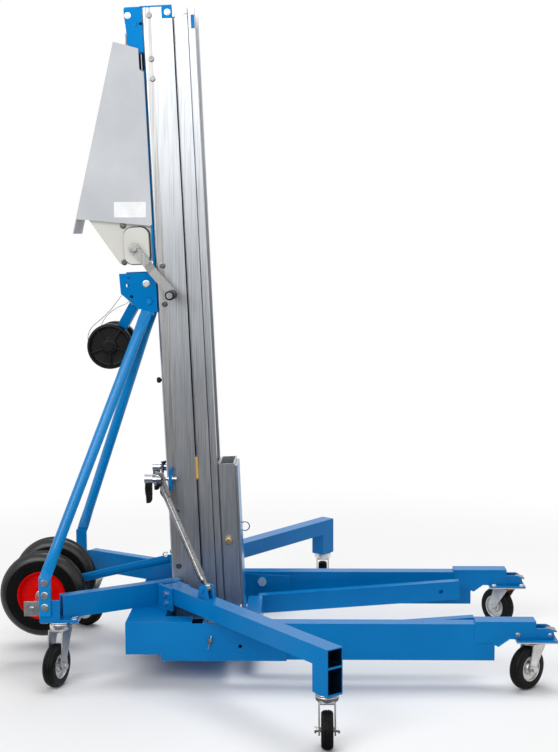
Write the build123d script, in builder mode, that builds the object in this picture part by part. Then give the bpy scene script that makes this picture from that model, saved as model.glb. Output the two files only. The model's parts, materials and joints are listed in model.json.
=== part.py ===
from build123d import *
import math
import os

# Winch stacker in millimetres: x to the front, y to the left, z up from the floor

# Mast, in its own leaning frame: x forward from the gap between columns 1 and 2, z along the mast
mast_foot_x = -198.0
mast_lean = 2.36
mast_foot_z = 90.0
mast_top = 1967.0
column_1_rear = -93.4
column_1_front = -4.0
column_1_half = 76.0
column_1_wall = 6.0
column_1_corner = 9.0
column_wall = 5.0
column_gap = 3.0
column_2_rear = -72.0
column_2_front = 40.0
column_2_bottom = 120.0
column_3_rear = -56.0
column_3_front = 61.0
column_3_bottom = 135.0
flange_gap = 3.0
joint_gap = 8.0
top_step = 5.0
rib_1_x = -24.0
rib_2_x = 12.0
rib_3_x = 45.0
rib_width = 8.0
rib_bite = 2.0
rib_clear = 0.6
flange_wall = 4.5
side_groove_x = -70.0
side_groove = 4.0
side_groove_deep = 2.0
rope_lug_tall = 20.0
rope_lug_half = 8.0

# Carriage and forks, in the mast frame
slider_rear = -40.0
box_rear = 66.0
box_front = 113.0
box_half = 70.0
box_wall = 4.0
carriage_bottom = 170.0
carriage_top = 607.0
carriage_pin_x = 84.0
carriage_pin_z = 372.0
carriage_pin_r = 5.0
carriage_pin_in = 30.0
carriage_pin_head = 17.0
carriage_pin_lift = 1.0
carriage_pin_edge = 2.0
frame_plate = 8.0
frame_plate_half = 60.0
frame_plate_top = 600.0
bar_deep = 46.0
fork_inner = 190.0
fork_wide = 30.0
fork_tall = 60.0
fork_wall = 4.0
fork_tilt = 1.97
fork_root = 153.0
fork_tip = 804.0
fork_root_top = 124.6
fork_hole_back = 59.5
fork_hole_r = 7.0

# Wire lanyard that hangs in a loop from the stop plate of the loading arm, in the mast frame
lanyard_r = 1.0
lanyard_exit = 18.0
lanyard_start_x = -195.5
lanyard_end_x = -176.5
lanyard_start_y = -63.0
lanyard_end_y = -31.0
lanyard_points = [(-222, -60, 1102), (-240, -52, 1083), (-261, -45, 1065), (-284, -39, 1048),
                  (-304, -33, 1032), (-314, -31, 1012), (-315, -31, 991), (-305, -31, 974),
                  (-288, -31, 971), (-275, -30, 984), (-271, -30, 1004), (-274, -31, 1026),
                  (-269, -31, 1047), (-256, -31, 1065), (-236, -31, 1082), (-214, -31, 1094)]

# Winch, head and brackets, in the mast frame
back_plate = 6.0
back_plate_half = 74.0
back_plate_bottom = 1075.0
back_plate_top = 1830.0
bracket_half = 80.0
bracket_plate = 6.0
bracket_top = 1193.0
bracket_rear = [(-150, 1086), (-200, 1134), (-202, 1193)]
bracket_holes = [(-174.5, 1179), (-178, 1157), (-168, 1124)]
bracket_hole_r = 5.5
swing_x = -122.0
swing_z = 1160.0
swing_bolt_r = 7.0
swing_barrel_r = 13.0
loading_x = -244.0
loading_z = 977.0
loading_axle_r = 8.0
loading_wheel_r = 68.0
loading_wheel_wide = 40.0
loading_wheel_y = 57.0
loading_arm_half = 24.0
loading_arm_deep = 30.0
loading_bend = (-165.0, 1104.0)
loading_stop = [(-152, 1091), (-198, 1135), (-194, 1139), (-148, 1095)]
loading_neck = [(-130, 1150), (-114, 1152), (-150, 1092), (-178, 1118)]
loading_side_gap = 1.0
loading_cap = 6.0
loading_cap_gap = 2.0
loading_hub_r = 22.0
loading_dish_r = (30.0, 52.0)
loading_rim_r = 60.0
loading_web_half = 8.0
loading_edge = 6.0
loading_shoulder = 8.0
winch_half = 62.0
winch_plate = 4.0
winch_low = 1226.0
winch_high = 1430.0
winch_rear = [(-199, 1222), (-286, 1357), (-286, 1400), (-240, 1430)]
drum_x = -149.0
drum_z = 1298.0
drum_r = 16.0
drum_flange_r = 26.5
drum_flange = 3.0
drum_half = 49.0
drum_shaft_r = 8.0
crank_x = -150.8
crank_z = 1264.3
crank_shaft_r = 6.0
shaft_end = 4.0
gear_teeth = 30
pinion_teeth = 13
gear_wide = 8.0
gear_start = 65.0
gear_cover_rear = -182.0
gear_cover_front = -107.0
gear_cover_bottom = 1219.0
gear_cover_top = 1328.0
gear_cover_deep = 22.0
gear_cover_wall = 2.5
gear_cover_corner = 26.0
gear_cover_round = 4.0
gear_cover_clear = 1.0
crank_radius = 176.0
crank_angle = -51.0
crank_wide = 26.0
crank_thick = 8.0
crank_boss_r = 16.0
crank_boss_in = 5.0
crank_boss_out = 2.0
crank_inner_y = 92.0
crank_step = 26.0
crank_first = 62.0
crank_slope = 26.0
crank_bend = 3.0
grip_r = 14.0
grip_long = 92.0
spindle_r = 5.0
spindle_head_r = 9.0
spindle_head = 4.0
grip_gap = 1.0
grip_round = 4.0
cover_half = 78.0
cover_sheet = 2.0
cover_top_rear = (-181, 1870)
cover_low_rear = (-321, 1360)
cover_tab_low = (-333, 1318)
cover_low_mid = (-285, 1356)
cover_low_front = (-103, 1331)
cover_top_front_z = 1844.5
cover_flange = 16.0
cover_notch_bottom = 1782.0
cover_notch_tall = 100.0
cover_notch_r = 8.6
sheave_x = -115.0
sheave_z = 1918.0
sheave_pitch_r = 35.5
sheave_half = 7.0
sheave_pin_r = 6.0
sheave_rim = 4.5
sheave_lip = 1.6
rope_r = 3.0
rope_clear = 0.3
head_rear = -146.0
head_bottom = 1833.0
head_plate = 4.0
head_foot = [(2, 95), (7, 26), (12, 6), (26, 0)]
head_foot_front = 4.0
head_corner = (4.0, 6.0)
head_inner = 68.0
head_strip_bottom = 1963.5
head_tab_rear = -34.0
head_tab_bottom = 1930.0
pad_spans = [(566.0, 632.0), (1932.0, 1962.0)]
pad_clear = 0.4

# Base, housings and legs
housing_rear = -413.0
housing_step = -304.0
housing_front = 51.0
housing_front_top = 176.0
housing_low = 80.0
housing_rear_low = 98.0
housing_plate = 6.0
deck_top = 194.0
deck_plate = 5.0
deck_round = 4.5
web_front = -221.0
stop_rear = -190.0
stop_front = -178.0
foot_front = -112.0
leg_y = 295.0
leg_wide = 45.0
leg_low = 82.0
leg_wall = 4.0
leg_side_gap = 1.0
leg_top_gap = 0.3
leg_tail = -186.0
leg_end = 647.0
leg_tail_cut = 40.0
leg_tail_wall = 5.0
pivot_x = -41.0
pivot_z = 158.0
pivot_r = 10.0
pivot_sleeve_r = 16.0
pivot_head = (12.0, 14.0)
pivot_end = 2.0
lock_x = -168.0
lock_z = 140.0
lock_r = 5.0
lock_slot_arc = 5.0
lock_head_r = 9.0
lock_head = 12.0
lock_head_gap = 0.5
lock_slot_clear = 0.4
lock_nose_short = 2.8
lock_finger = 26.0
lock_finger_wide = 5.0
lock_finger_edge = 3.0
spare_hole_x = -82.0
spare_hole_z = 123.0
spare_hole_r = 11.0
end_rear = 591.0
end_front = 764.0
end_top = 197.0
end_plate = 4.0
end_seam_z = 135.0
end_notch = [(687, 146), (657, 124)]
end_notch_x = 643.0
end_notch_z = 129.0
end_lap = 20.0
leg_plate_rear = 707.0
leg_plate_front = 824.0
leg_plate_half = 45.0
leg_plate_low = 138.0
leg_plate = 8.0
pedal_x = 777.0
pedal_z = 160.0
pedal_half = 18.0
pedal_barrel_r = 6.0
pedal_pin_r = 3.0
pedal_lug = 5.0
pedal_gap = 1.0
pedal_lug_half = 8.0
pedal_bend = 24.0
pedal_rise = (5.0, 14.0, 8.0)
pedal_sheet = (5.0, 4.0)

# Stabilisers and rod braces, in a frame along the beam from its hinge bolt
hinge_x = -283.0
hinge_y = 172.0
hinge_z = 240.0
hinge_r = 7.0
hinge_sleeve_r = 13.0
beam_turn = 52.5
beam_root = -23.0
beam_tip = 764.0
beam_half = 25.0
beam_low = -28.0
beam_top = 22.0
beam_wall = 3.0
drop_long = 62.0
drop_low = -102.0
cheek_gap = 1.0
cheek_plate = 7.0
cheek_rear = -37.5
cheek_front = 32.5
cheek_bridge = 7.0
clevis_s = 172.0
clevis_z = 48.0
clevis_pin_r = 6.0
clevis_plate = 8.0
clevis_half = 7.0
clevis_foot = 25.0
clevis_tip = 12.0
clevis_head = 6.0
clevis_head_r = 9.6
brace_eye_r = 14.0
brace_tube_r = 11.0
brace_head_plate = 6.0
brace_eye_gap = 0.5
brace_blade = 8.0
brace_blade_thin = 2.0
brace_blade_long = 54.0
brace_tube_start = 40.0
brace_tube_stop = 58.0
brace_head_in = 12.0
brace_head_reach = 22.0
brace_head_up = 20.0
brace_foot_rise = 8.0
hook_half = 11.5
hook_up = 7.0
hook_mouth = [(7, -60), (-42, -60), (-18, -24)]
stud_x = -333.0
stud_y = 104.0
stud_z = 570.0
stud_r = 6.0
stud_front = -282.0
knob_rear = -378.0
knob_front = -354.0
knob_r = 14.0
knob_lever = 6.0
knob_lever_in = 1.0
knob_lever_drop = 74.0
knob_lever_tip = (4.0, 14.0)
stud_collar = 2.0
stud_collar_gap = 0.5
stud_collar_r = 10.0
lug_rear = -304.0
lug_plate = 8.0
lug_out = 48.0
lug_half = 32.0

# Rear arms, axle, transport wheels, struts and centre brace
arm_root_x = -330.0
arm_root_out = 46.0
arm_end = (-603.0, 283.0)
arm_wide = 30.0
arm_top = 262.0
arm_wall = 3.0
arm_spare = 60.0
rear_plate = (-663.0, -552.0, 246.0)
rear_plate_thick = 8.0
axle_x = -694.0
axle_z = 215.0
axle_r = 10.0
axle_plate_y = 304.0
axle_plate = 6.0
axle_plate_front = -604.0
axle_plate_top = 252.0
axle_bar = (-716.0, -628.0)
axle_bar_y = 264.0
axle_bar_thick = 6.0
axle_bar_top = 237.0
wheel_r = 130.0
wheel_half = 34.0
wheel_y = 94.0
wheel_hub_r = 73.0
wheel_boss_r = 24.0
wheel_disc_r = (28.0, 56.0)
wheel_disc_y = (-18.0, -12.0)
wheel_disc = 6.0
wheel_rim = 6.0
wheel_rim_half = 30.0
tyre_swell = 34.0
tyre_shoulder = 8.0
tyre_shoulder_half = 26.0
tyre_tread_half = 12.0
strut_x = -645.0
strut_wide = 34.0
joint_slack = 1.0
strut_bottom = 206.0
strut_flat_top = 335.0
strut_flat = 6.0
strut_r = 16.0
strut_bolts = [233.0, 268.0, 306.0]
strut_low_shift = (4.0, 14.0)
strut_high_shift = (4.0, 2.0, 24.0)
strut_top_flat = [(-17, -44), (12, -44), (14, 16), (-14, 16)]
strut_trim = 60.0
strut_top_x = -117.0
strut_top_z = 1108.0
tongue_top = 322.0
centre_r = 13.0
centre_eye_r = 18.0
centre_eye_half = 16.0
centre_flange_z = (276.0, 336.0)
centre_flange_half = 30.0
centre_flange = 8.0

# Casters: wheel radius, wheel width, mounting height, trail, race height, crown gap is what remains
leg_caster = (62.5, 36.0, 138.0, 32.0, 5.0)
rear_caster = (62.5, 36.0, 186.0, 28.0, 22.0)
stab_caster = (50.0, 33.0, 138.0, 25.0, 18.0)
leg_caster_x = 763.0
rear_caster_x = -607.0
rear_caster_y = 288.0
drop_caster_s = 732.0
caster_turn = {"leg_left": 130.0, "leg_right": -138.0, "rear_left": 160.0, "rear_right": -107.0,
               "stab_left": 90.0, "stab_right": -90.0}
brake_hand = {"rear_left": 1, "rear_right": -1}
race_r = 27.0
crown_half = 29.0
crown = 4.0
fork_plate = 4.0
caster_gap = 2.0
caster_axle_r = 6.0
axle_nut_r = 9.0
axle_nut = 5.0
caster_eye = [(-15, 4), (-9, -13), (9, -13), (15, 4)]
caster_boss_r = 14.0
caster_dish_r = 17.0
caster_dish = 7.0
caster_tyre = (22.0, 18.0)
caster_side = 1.0
caster_shoulder = (5.0, 6.0)
caster_crowned = 1.0
brake_plate = 4.0
brake_gap = 0.5
brake_eye_r = 12.0
brake_arm = [(-4, 11), (-34, 24), (-40, 18), (-6, -9)]
brake_tread = [(-34, 24), (-54, 24), (-54, 20), (-38, 18)]
brake_tread_wide = 24.0

# Fits and fasteners
shaft_clear = 0.05
hex_across = 17.0
hex_tall = 7.0
small_hex = 13.0
small_tall = 5.0
groove_bolts = [300.0, 470.0, 1098.0, 1212.0, 1758.0, 1815.0, 1940.0]
groove_bolt_x = -71.0

# Values that follow from the ones above
lean = math.radians(mast_lean)
mast = Location((mast_foot_x, 0, 0), (0, -mast_lean, 0))
column_1_inner = column_1_half - column_1_wall
column_2_half = column_1_inner - column_gap
column_2_inner = column_2_half - column_wall
column_3_half = column_2_inner - column_gap
column_3_inner = column_3_half - column_wall
slider_half = column_3_inner - column_gap
flange_2_rear = column_1_front + joint_gap
flange_3_rear = column_2_front + flange_gap
plate_rear = column_1_rear - back_plate
gear_module = 2 * math.hypot(drum_x - crank_x, drum_z - crank_z) / (gear_teeth + pinion_teeth)
gear_turn = math.degrees(math.atan2(crank_z - drum_z, crank_x - drum_x))
housing_inner = leg_y - leg_wide / 2 - leg_side_gap
housing_outer = leg_y + leg_wide / 2 + leg_side_gap
deck_low = deck_top - deck_plate
leg_top = deck_low - leg_top_gap
beam = {side: Location((hinge_x, side * hinge_y, hinge_z), (0, 0, side * beam_turn)) for side in (1, -1)}
beam_dir = Vector(math.cos(math.radians(beam_turn)), math.sin(math.radians(beam_turn)), 0)
beam_out = Vector(-beam_dir.Y, beam_dir.X, 0)
cheek_inner = beam_half + cheek_gap
cheek_outer = cheek_inner + cheek_plate
stud_s = (stud_x - hinge_x) * beam_dir.X + (stud_y - hinge_y) * beam_dir.Y
stud_up = stud_z - hinge_z
strut_y = axle_plate_y + axle_plate
arm_root = (arm_root_x, column_1_half + arm_root_out)
fork_rise = math.tan(math.radians(fork_tilt))

os.makedirs("parts", exist_ok=True)


def save(piece, name):
    # Labels one finished piece and writes it
    piece.label = name
    export_step(piece, f"parts/{name}.step")


def save_pair(left, name):
    # Writes a piece of the left side and its mirror image on the right
    save(left, f"{name}_left")
    save(left.mirror(Plane.XZ), f"{name}_right")


def side(y):
    # Sketch plane seen from the right, its extrusions run towards the right from y
    return Plane.XZ.offset(-y)


def box(x0, x1, y0, y1, z0, z1, mode=Mode.ADD):
    # Block between six planes
    with Locations(((x0 + x1) / 2, (y0 + y1) / 2, (z0 + z1) / 2)):
        Box(x1 - x0, y1 - y0, z1 - z0, mode=mode)


def slab(points, y0, y1, mode=Mode.ADD):
    # Plate with an outline in x and z between two values of y
    with BuildSketch(side(y1)) as outline:
        with BuildLine():
            Polyline(*points, close=True)
        make_face()
    extrude(outline.sketch, amount=y1 - y0, mode=mode)


def rod(radius, x, z, y0, y1, mode=Mode.ADD):
    # Round bar along y
    with BuildSketch(side(y1)) as section:
        with Locations((x, z)):
            Circle(radius)
    extrude(section.sketch, amount=y1 - y0, mode=mode)


def tube_between(start, end, radius, mode=Mode.ADD):
    # Round bar between two points
    axis = Vector(*end) - Vector(*start)
    with BuildSketch(Plane(origin=start, z_dir=axis)) as section:
        Circle(radius)
    extrude(section.sketch, amount=axis.length, mode=mode)


def both_walls(x0, x1, y0, y1, mode=Mode.ADD):
    # Two mirrored rectangles in a column's section
    for hand in (1, -1):
        with Locations(((x0 + x1) / 2, hand * (y0 + y1) / 2)):
            Rectangle(x1 - x0, y1 - y0, mode=mode)


def channel(rear, front, half, wall):
    # Section of a column that is open to the front
    with Locations(((rear + front) / 2, 0)):
        Rectangle(front - rear, 2 * half)
    with Locations(((rear + wall + front) / 2, 0)):
        Rectangle(front - rear - wall, 2 * (half - wall), mode=Mode.SUBTRACT)


def guide_rib(x, inner):
    # Ribs on the inside of a column that hold the next one
    both_walls(x, x + rib_width, inner - column_gap - rib_bite, inner)


def guide_groove(x, half):
    # Grooves on the outside of a column for the ribs around it
    both_walls(x - rib_clear, x + rib_width + rib_clear, half - rib_bite - rib_clear, half, Mode.SUBTRACT)


def toothed(teeth, turn):
    # Outline of a gear with one tooth pointing along the turn angle
    pitch_r = gear_module * teeth / 2
    step = 360 / teeth
    points = []
    for tooth in range(teeth):
        for share, radius in ((-0.30, pitch_r - 1.15 * gear_module), (-0.13, pitch_r + 0.9 * gear_module),
                              (0.13, pitch_r + 0.9 * gear_module), (0.30, pitch_r - 1.15 * gear_module)):
            angle = math.radians(turn + (tooth + share) * step)
            points.append((radius * math.cos(angle), radius * math.sin(angle)))
    with BuildLine() as outline:
        Polyline(*points, close=True)
    make_face(outline.edges())


def hex_head(plane, across=hex_across, tall=hex_tall):
    # Hexagon bolt head standing on a plane
    with BuildSketch(plane) as head:
        RegularPolygon(across / 2, 6, major_radius=False)
    extrude(head.sketch, amount=tall)


# Column 1 stands on the foot plate and is cut level there
foot_plane = Plane(origin=(0, 0, mast_foot_z / math.cos(lean)), z_dir=(math.sin(lean), 0, math.cos(lean)))
with BuildPart() as column_1:
    with BuildSketch():
        channel(column_1_rear, column_1_front, column_1_half, column_1_wall)
        guide_rib(rib_1_x, column_1_inner)
        groove_floor = column_1_half - side_groove_deep
        both_walls(side_groove_x, side_groove_x + side_groove, groove_floor, column_1_half, Mode.SUBTRACT)
    extrude(amount=mast_top)
    fillet(column_1.edges().filter_by(Axis.Z).group_by(Axis.X)[0], column_1_corner)
    split(bisect_by=foot_plane, keep=Keep.TOP)
    # Window for the head sheave and its rope
    window_low = sheave_z - sheave_pitch_r - sheave_rim - top_step
    box(column_1_rear, column_1_rear + column_1_wall, -head_inner, head_inner, window_low, mast_top,
        Mode.SUBTRACT)
save(column_1.part.moved(mast), "column_1")

with BuildPart() as column_2:
    with BuildSketch(Plane.XY.offset(column_2_bottom)):
        channel(column_2_rear, flange_2_rear, column_2_half, column_wall)
        both_walls(flange_2_rear, column_2_front, column_2_inner, column_1_half)
        both_walls(flange_2_rear + flange_wall, column_2_front - flange_wall,
                   column_2_inner + flange_wall, column_1_half - flange_wall, Mode.SUBTRACT)
        guide_rib(rib_2_x, column_2_inner)
        guide_groove(rib_1_x, column_2_half)
    extrude(amount=mast_top - top_step - column_2_bottom)
    # Lug that the hoist rope pulls on
    lug_rear_x = column_1_rear + column_1_wall + column_gap
    box(lug_rear_x, column_2_rear, -rope_lug_half, rope_lug_half, column_2_bottom,
        column_2_bottom + rope_lug_tall)
save(column_2.part.moved(mast), "column_2")

with BuildPart() as column_3:
    with BuildSketch(Plane.XY.offset(column_3_bottom)):
        channel(column_3_rear, flange_3_rear, column_3_half, column_wall)
        both_walls(flange_3_rear, column_3_front, column_3_inner, column_1_half)
        both_walls(flange_3_rear + flange_wall, column_3_front - flange_wall,
                   column_3_inner + flange_wall, column_1_half - flange_wall, Mode.SUBTRACT)
        guide_rib(rib_3_x, column_3_inner)
        guide_groove(rib_2_x, column_3_half)
    extrude(amount=mast_top - 2 * top_step - column_3_bottom)
save(column_3.part.moved(mast), "column_3")

# Carriage: a tube that runs inside column 3 and a box in front of it
with BuildPart() as carriage:
    with BuildSketch(Plane.XY.offset(carriage_bottom)):
        with Locations(((slider_rear + box_rear) / 2, 0)):
            Rectangle(box_rear - slider_rear, 2 * slider_half)
        with Locations(((box_rear + box_front) / 2, 0)):
            Rectangle(box_front - box_rear, 2 * box_half)
        with Locations(((slider_rear + box_rear) / 2, 0)):
            Rectangle(box_rear - slider_rear - 2 * column_wall, 2 * (slider_half - column_wall),
                      mode=Mode.SUBTRACT)
        with Locations(((box_rear + box_front) / 2, 0)):
            Rectangle(box_front - box_rear - 2 * box_wall, 2 * (box_half - box_wall), mode=Mode.SUBTRACT)
        guide_groove(rib_3_x, slider_half)
    extrude(amount=carriage_top - carriage_bottom)
    rod(carriage_pin_r + shaft_clear, carriage_pin_x, carriage_pin_z, -box_half, box_wall - box_half,
        Mode.SUBTRACT)
save(carriage.part.moved(mast), "carriage")

with BuildPart() as carriage_pin:
    head_low = -box_half - carriage_pin_lift - carriage_pin_head
    rod(carriage_pin_r, carriage_pin_x, carriage_pin_z, head_low + carriage_pin_edge,
        carriage_pin_in - box_half)
    rod(2 * carriage_pin_r, carriage_pin_x, carriage_pin_z, head_low, head_low + carriage_pin_head)
    chamfer(carriage_pin.edges().filter_by(GeomType.CIRCLE).sort_by(Axis.Y)[0], carriage_pin_edge)
save(carriage_pin.part.moved(mast), "carriage_pin")

# Fork frame: plate on the carriage and a hollow bar across its foot
frame_front = box_front + frame_plate
bar_top = fork_root_top
bar_bottom = fork_root_top - fork_tall
with BuildPart() as fork_frame:
    box(box_front, frame_front, -frame_plate_half, frame_plate_half, bar_bottom, frame_plate_top)
    box(frame_front, frame_front + bar_deep, -fork_inner, fork_inner, bar_bottom, bar_top)
    box(frame_front + fork_wall, frame_front + bar_deep - fork_wall, -fork_inner, fork_inner,
        bar_bottom + fork_wall, bar_top - fork_wall, Mode.SUBTRACT)
save(fork_frame.part.moved(mast), "fork_frame")


def fork_top(x):
    # Height of a fork's upper face in the mast frame
    return fork_root_top + (x - fork_root) * fork_rise


# Fork: folded blade open below, its root beside the end of the bar
fork_hole_x = fork_tip - fork_hole_back
with BuildPart() as fork:
    slab([(fork_root, fork_top(fork_root) - fork_tall), (fork_tip, fork_top(fork_tip) - fork_tall),
          (fork_tip, fork_top(fork_tip)), (fork_root, fork_top(fork_root))],
         fork_inner, fork_inner + fork_wide)
    slab([(fork_root + fork_wall, fork_top(fork_root) - 2 * fork_tall),
          (fork_tip - fork_wall, fork_top(fork_tip) - 2 * fork_tall),
          (fork_tip - fork_wall, fork_top(fork_tip - fork_wall) - fork_wall),
          (fork_root + fork_wall, fork_top(fork_root + fork_wall) - fork_wall)],
         fork_inner + fork_wall, fork_inner + fork_wide - fork_wall, Mode.SUBTRACT)
    rod(fork_hole_r, fork_hole_x, fork_top(fork_hole_x) - fork_tall / 2, fork_inner, fork_inner + fork_wide,
        Mode.SUBTRACT)
save_pair(fork.part.moved(mast), "fork")

# Glide pads in the gap in front of column 1
with BuildPart() as glide_pads:
    for pad_low, pad_high in pad_spans:
        for hand in (1, -1):
            pad_in = hand * (column_2_half + pad_clear)
            pad_out = hand * (column_1_half - pad_clear)
            box(column_1_front, flange_2_rear - pad_clear, min(pad_in, pad_out), max(pad_in, pad_out),
                pad_low, pad_high)
save(glide_pads.part.moved(mast), "glide_pads")

# Blue plate behind the mast with the bracket for the loading arm and the struts
with BuildPart() as winch_bracket:
    box(plate_rear, column_1_rear, -back_plate_half, back_plate_half, back_plate_bottom, back_plate_top)
    box(plate_rear, column_1_rear, -bracket_half, bracket_half, back_plate_bottom, bracket_top)
    for hand in (1, -1):
        low = min(hand * bracket_half, hand * (bracket_half - bracket_plate))
        slab([(plate_rear, bracket_top), (plate_rear, back_plate_bottom), *bracket_rear],
             low, low + bracket_plate)
        for hole in bracket_holes:
            rod(bracket_hole_r, hole[0], hole[1], low, low + bracket_plate, Mode.SUBTRACT)
        rod(swing_bolt_r + shaft_clear, swing_x, swing_z, low, low + bracket_plate, Mode.SUBTRACT)
save(winch_bracket.part.moved(mast), "winch_bracket")

# Loading arm: barrel on the swing bolt, stop plate and bar down to the axle
arm_barrel_half = bracket_half - bracket_plate - loading_side_gap
with BuildPart() as loading_arm:
    rod(swing_barrel_r, swing_x, swing_z, -arm_barrel_half, arm_barrel_half)
    slab(loading_stop, -arm_barrel_half, arm_barrel_half)
    slab(loading_neck, -loading_arm_half, loading_arm_half)
    bend_x, bend_z = loading_bend
    bar = Vector(loading_x - bend_x, loading_z - bend_z, 0)
    across = Vector(-bar.Y, bar.X, 0).normalized() * (loading_arm_deep / 2)
    slab([(bend_x + across.X, bend_z + across.Y), (loading_x + across.X, loading_z + across.Y),
          (loading_x - across.X, loading_z - across.Y), (bend_x - across.X, bend_z - across.Y)],
         -loading_arm_half, loading_arm_half)
    rod(loading_arm_deep / 2, loading_x, loading_z, -loading_arm_half, loading_arm_half)
    cap_start = loading_wheel_y + loading_wheel_wide / 2 + loading_cap_gap
    cap_end = cap_start + loading_cap
    rod(loading_axle_r, loading_x, loading_z, -cap_end, cap_end)
    for hand in (1, -1):
        low = min(hand * cap_start, hand * cap_end)
        rod(1.6 * loading_axle_r, loading_x, loading_z, low, low + loading_cap)
    rod(swing_bolt_r + shaft_clear, swing_x, swing_z, -arm_barrel_half, arm_barrel_half, Mode.SUBTRACT)
save(loading_arm.part.moved(mast), "loading_arm")

# Lanyard: both ends square on the lower face of the stop plate, each arc as large as its runs allow
stop_foot, stop_tip = Vector(*loading_stop[0], 0), Vector(*loading_stop[1], 0)
stop_run = stop_tip - stop_foot
stop_out = Vector(-stop_run.Y, stop_run.X, 0).normalized()


def lanyard_seat(x, y, out):
    # Point above the lower face of the stop plate
    share = (x - stop_foot.X) / stop_run.X
    spot = stop_foot + stop_run * share + stop_out * out
    return Vector(spot.X, y, spot.Y)


lanyard_route = [lanyard_seat(lanyard_start_x, lanyard_start_y, 0),
                 lanyard_seat(lanyard_start_x, lanyard_start_y, lanyard_exit),
                 *[Vector(*point) for point in lanyard_points],
                 lanyard_seat(lanyard_end_x, lanyard_end_y, lanyard_exit),
                 lanyard_seat(lanyard_end_x, lanyard_end_y, 0)]
lanyard_radii = []
for before, corner, after in zip(lanyard_route, lanyard_route[1:], lanyard_route[2:]):
    half_turn = math.radians((corner - before).get_angle(after - corner)) / 2
    shorter = min((corner - before).length, (after - corner).length)
    lanyard_radii.append(0.45 * shorter / math.tan(half_turn))
print("lanyard radii", [round(radius, 1) for radius in lanyard_radii])
with BuildPart() as arm_lanyard:
    with BuildLine() as lanyard_path:
        FilletPolyline(*lanyard_route, radius=lanyard_radii)
    with BuildSketch(Plane(origin=lanyard_path.line @ 0, z_dir=lanyard_path.line % 0)):
        Circle(lanyard_r)
    sweep(path=lanyard_path.line)
lanyard_long = sum(edge.length for edge in lanyard_path.edges())
print("lanyard length", round(lanyard_long, 1), "volume", round(arm_lanyard.part.volume, 1),
      "section times length", round(math.pi * lanyard_r ** 2 * lanyard_long, 1))
save(arm_lanyard.part.moved(mast), "arm_lanyard")

# Loading wheel with a dished face
with BuildPart() as loading_wheel:
    half = loading_wheel_wide / 2 - loading_side_gap
    bore = loading_axle_r + shaft_clear
    dish_in, dish_out = loading_dish_r
    upper = [(bore, half), (loading_hub_r, half), (dish_in, loading_web_half), (dish_out, loading_web_half),
             (loading_rim_r, half), (loading_wheel_r - loading_edge, half),
             (loading_wheel_r, half - loading_shoulder)]
    with BuildSketch(Plane.XY):
        with BuildLine():
            Polyline(*upper, *[(out, -across) for out, across in reversed(upper)], close=True)
        make_face()
    revolve(axis=Axis.Y)
spot = Location((loading_x, loading_wheel_y, loading_z))
save_pair(loading_wheel.part.moved(mast * spot), "loading_wheel")

# Winch frame: two plates and a foot on the blue plate
winch_foot = plate_rear - back_plate
with BuildPart() as winch_frame:
    box(winch_foot, plate_rear, winch_plate - winch_half, winch_half - winch_plate, winch_low, winch_high)
    for hand in (1, -1):
        low = min(hand * winch_half, hand * (winch_half - winch_plate))
        slab([*winch_rear, (plate_rear, winch_high), (plate_rear, winch_low)], low, low + winch_plate)
        rod(drum_shaft_r + shaft_clear, drum_x, drum_z, low, low + winch_plate, Mode.SUBTRACT)
        rod(crank_shaft_r + shaft_clear, crank_x, crank_z, low, low + winch_plate, Mode.SUBTRACT)
save(winch_frame.part.moved(mast), "winch_frame")

# Drum with its gear on the right, and the crank shaft with its pinion
with BuildPart() as winch_drum:
    rod(drum_r, drum_x, drum_z, -drum_half, drum_half)
    for hand in (1, -1):
        low = min(hand * drum_half, hand * (drum_half + drum_flange))
        rod(drum_flange_r, drum_x, drum_z, low, low + drum_flange)
    rod(drum_shaft_r, drum_x, drum_z, -gear_start - gear_wide - shaft_end, winch_half + shaft_end)
    with BuildSketch(Plane(origin=(drum_x, -gear_start, drum_z), x_dir=(1, 0, 0), z_dir=(0, -1, 0))):
        toothed(gear_teeth, gear_turn)
    extrude(amount=gear_wide)
save(winch_drum.part.moved(mast), "winch_drum")

crank_outer_y = crank_inner_y + crank_thick
with BuildPart() as crank_shaft:
    rod(crank_shaft_r, crank_x, crank_z, -crank_outer_y - crank_boss_out, winch_half + shaft_end)
    with BuildSketch(Plane(origin=(crank_x, -gear_start, crank_z), x_dir=(1, 0, 0), z_dir=(0, -1, 0))):
        toothed(pinion_teeth, gear_turn + 180 + 180 / pinion_teeth)
    extrude(amount=gear_wide)

with BuildPart() as gear_cover:
    wide = gear_cover_front - gear_cover_rear
    tall = gear_cover_top - gear_cover_bottom
    middle = ((gear_cover_rear + gear_cover_front) / 2, (gear_cover_bottom + gear_cover_top) / 2)
    with BuildSketch(side(-winch_half)):
        with Locations(middle):
            RectangleRounded(wide, tall, gear_cover_corner)
    extrude(amount=gear_cover_deep)
    fillet(gear_cover.faces().sort_by(Axis.Y)[0].edges(), gear_cover_round)
    with BuildSketch(side(-winch_half)):
        with Locations(middle):
            RectangleRounded(wide - 2 * gear_cover_wall, tall - 2 * gear_cover_wall,
                             gear_cover_corner - gear_cover_wall)
    extrude(amount=gear_cover_deep - gear_cover_wall, mode=Mode.SUBTRACT)
    rod(crank_shaft_r + gear_cover_clear, crank_x, crank_z, -winch_half - gear_cover_deep, -winch_half,
        Mode.SUBTRACT)
save(gear_cover.part.moved(mast), "winch_gear_cover")

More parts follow.
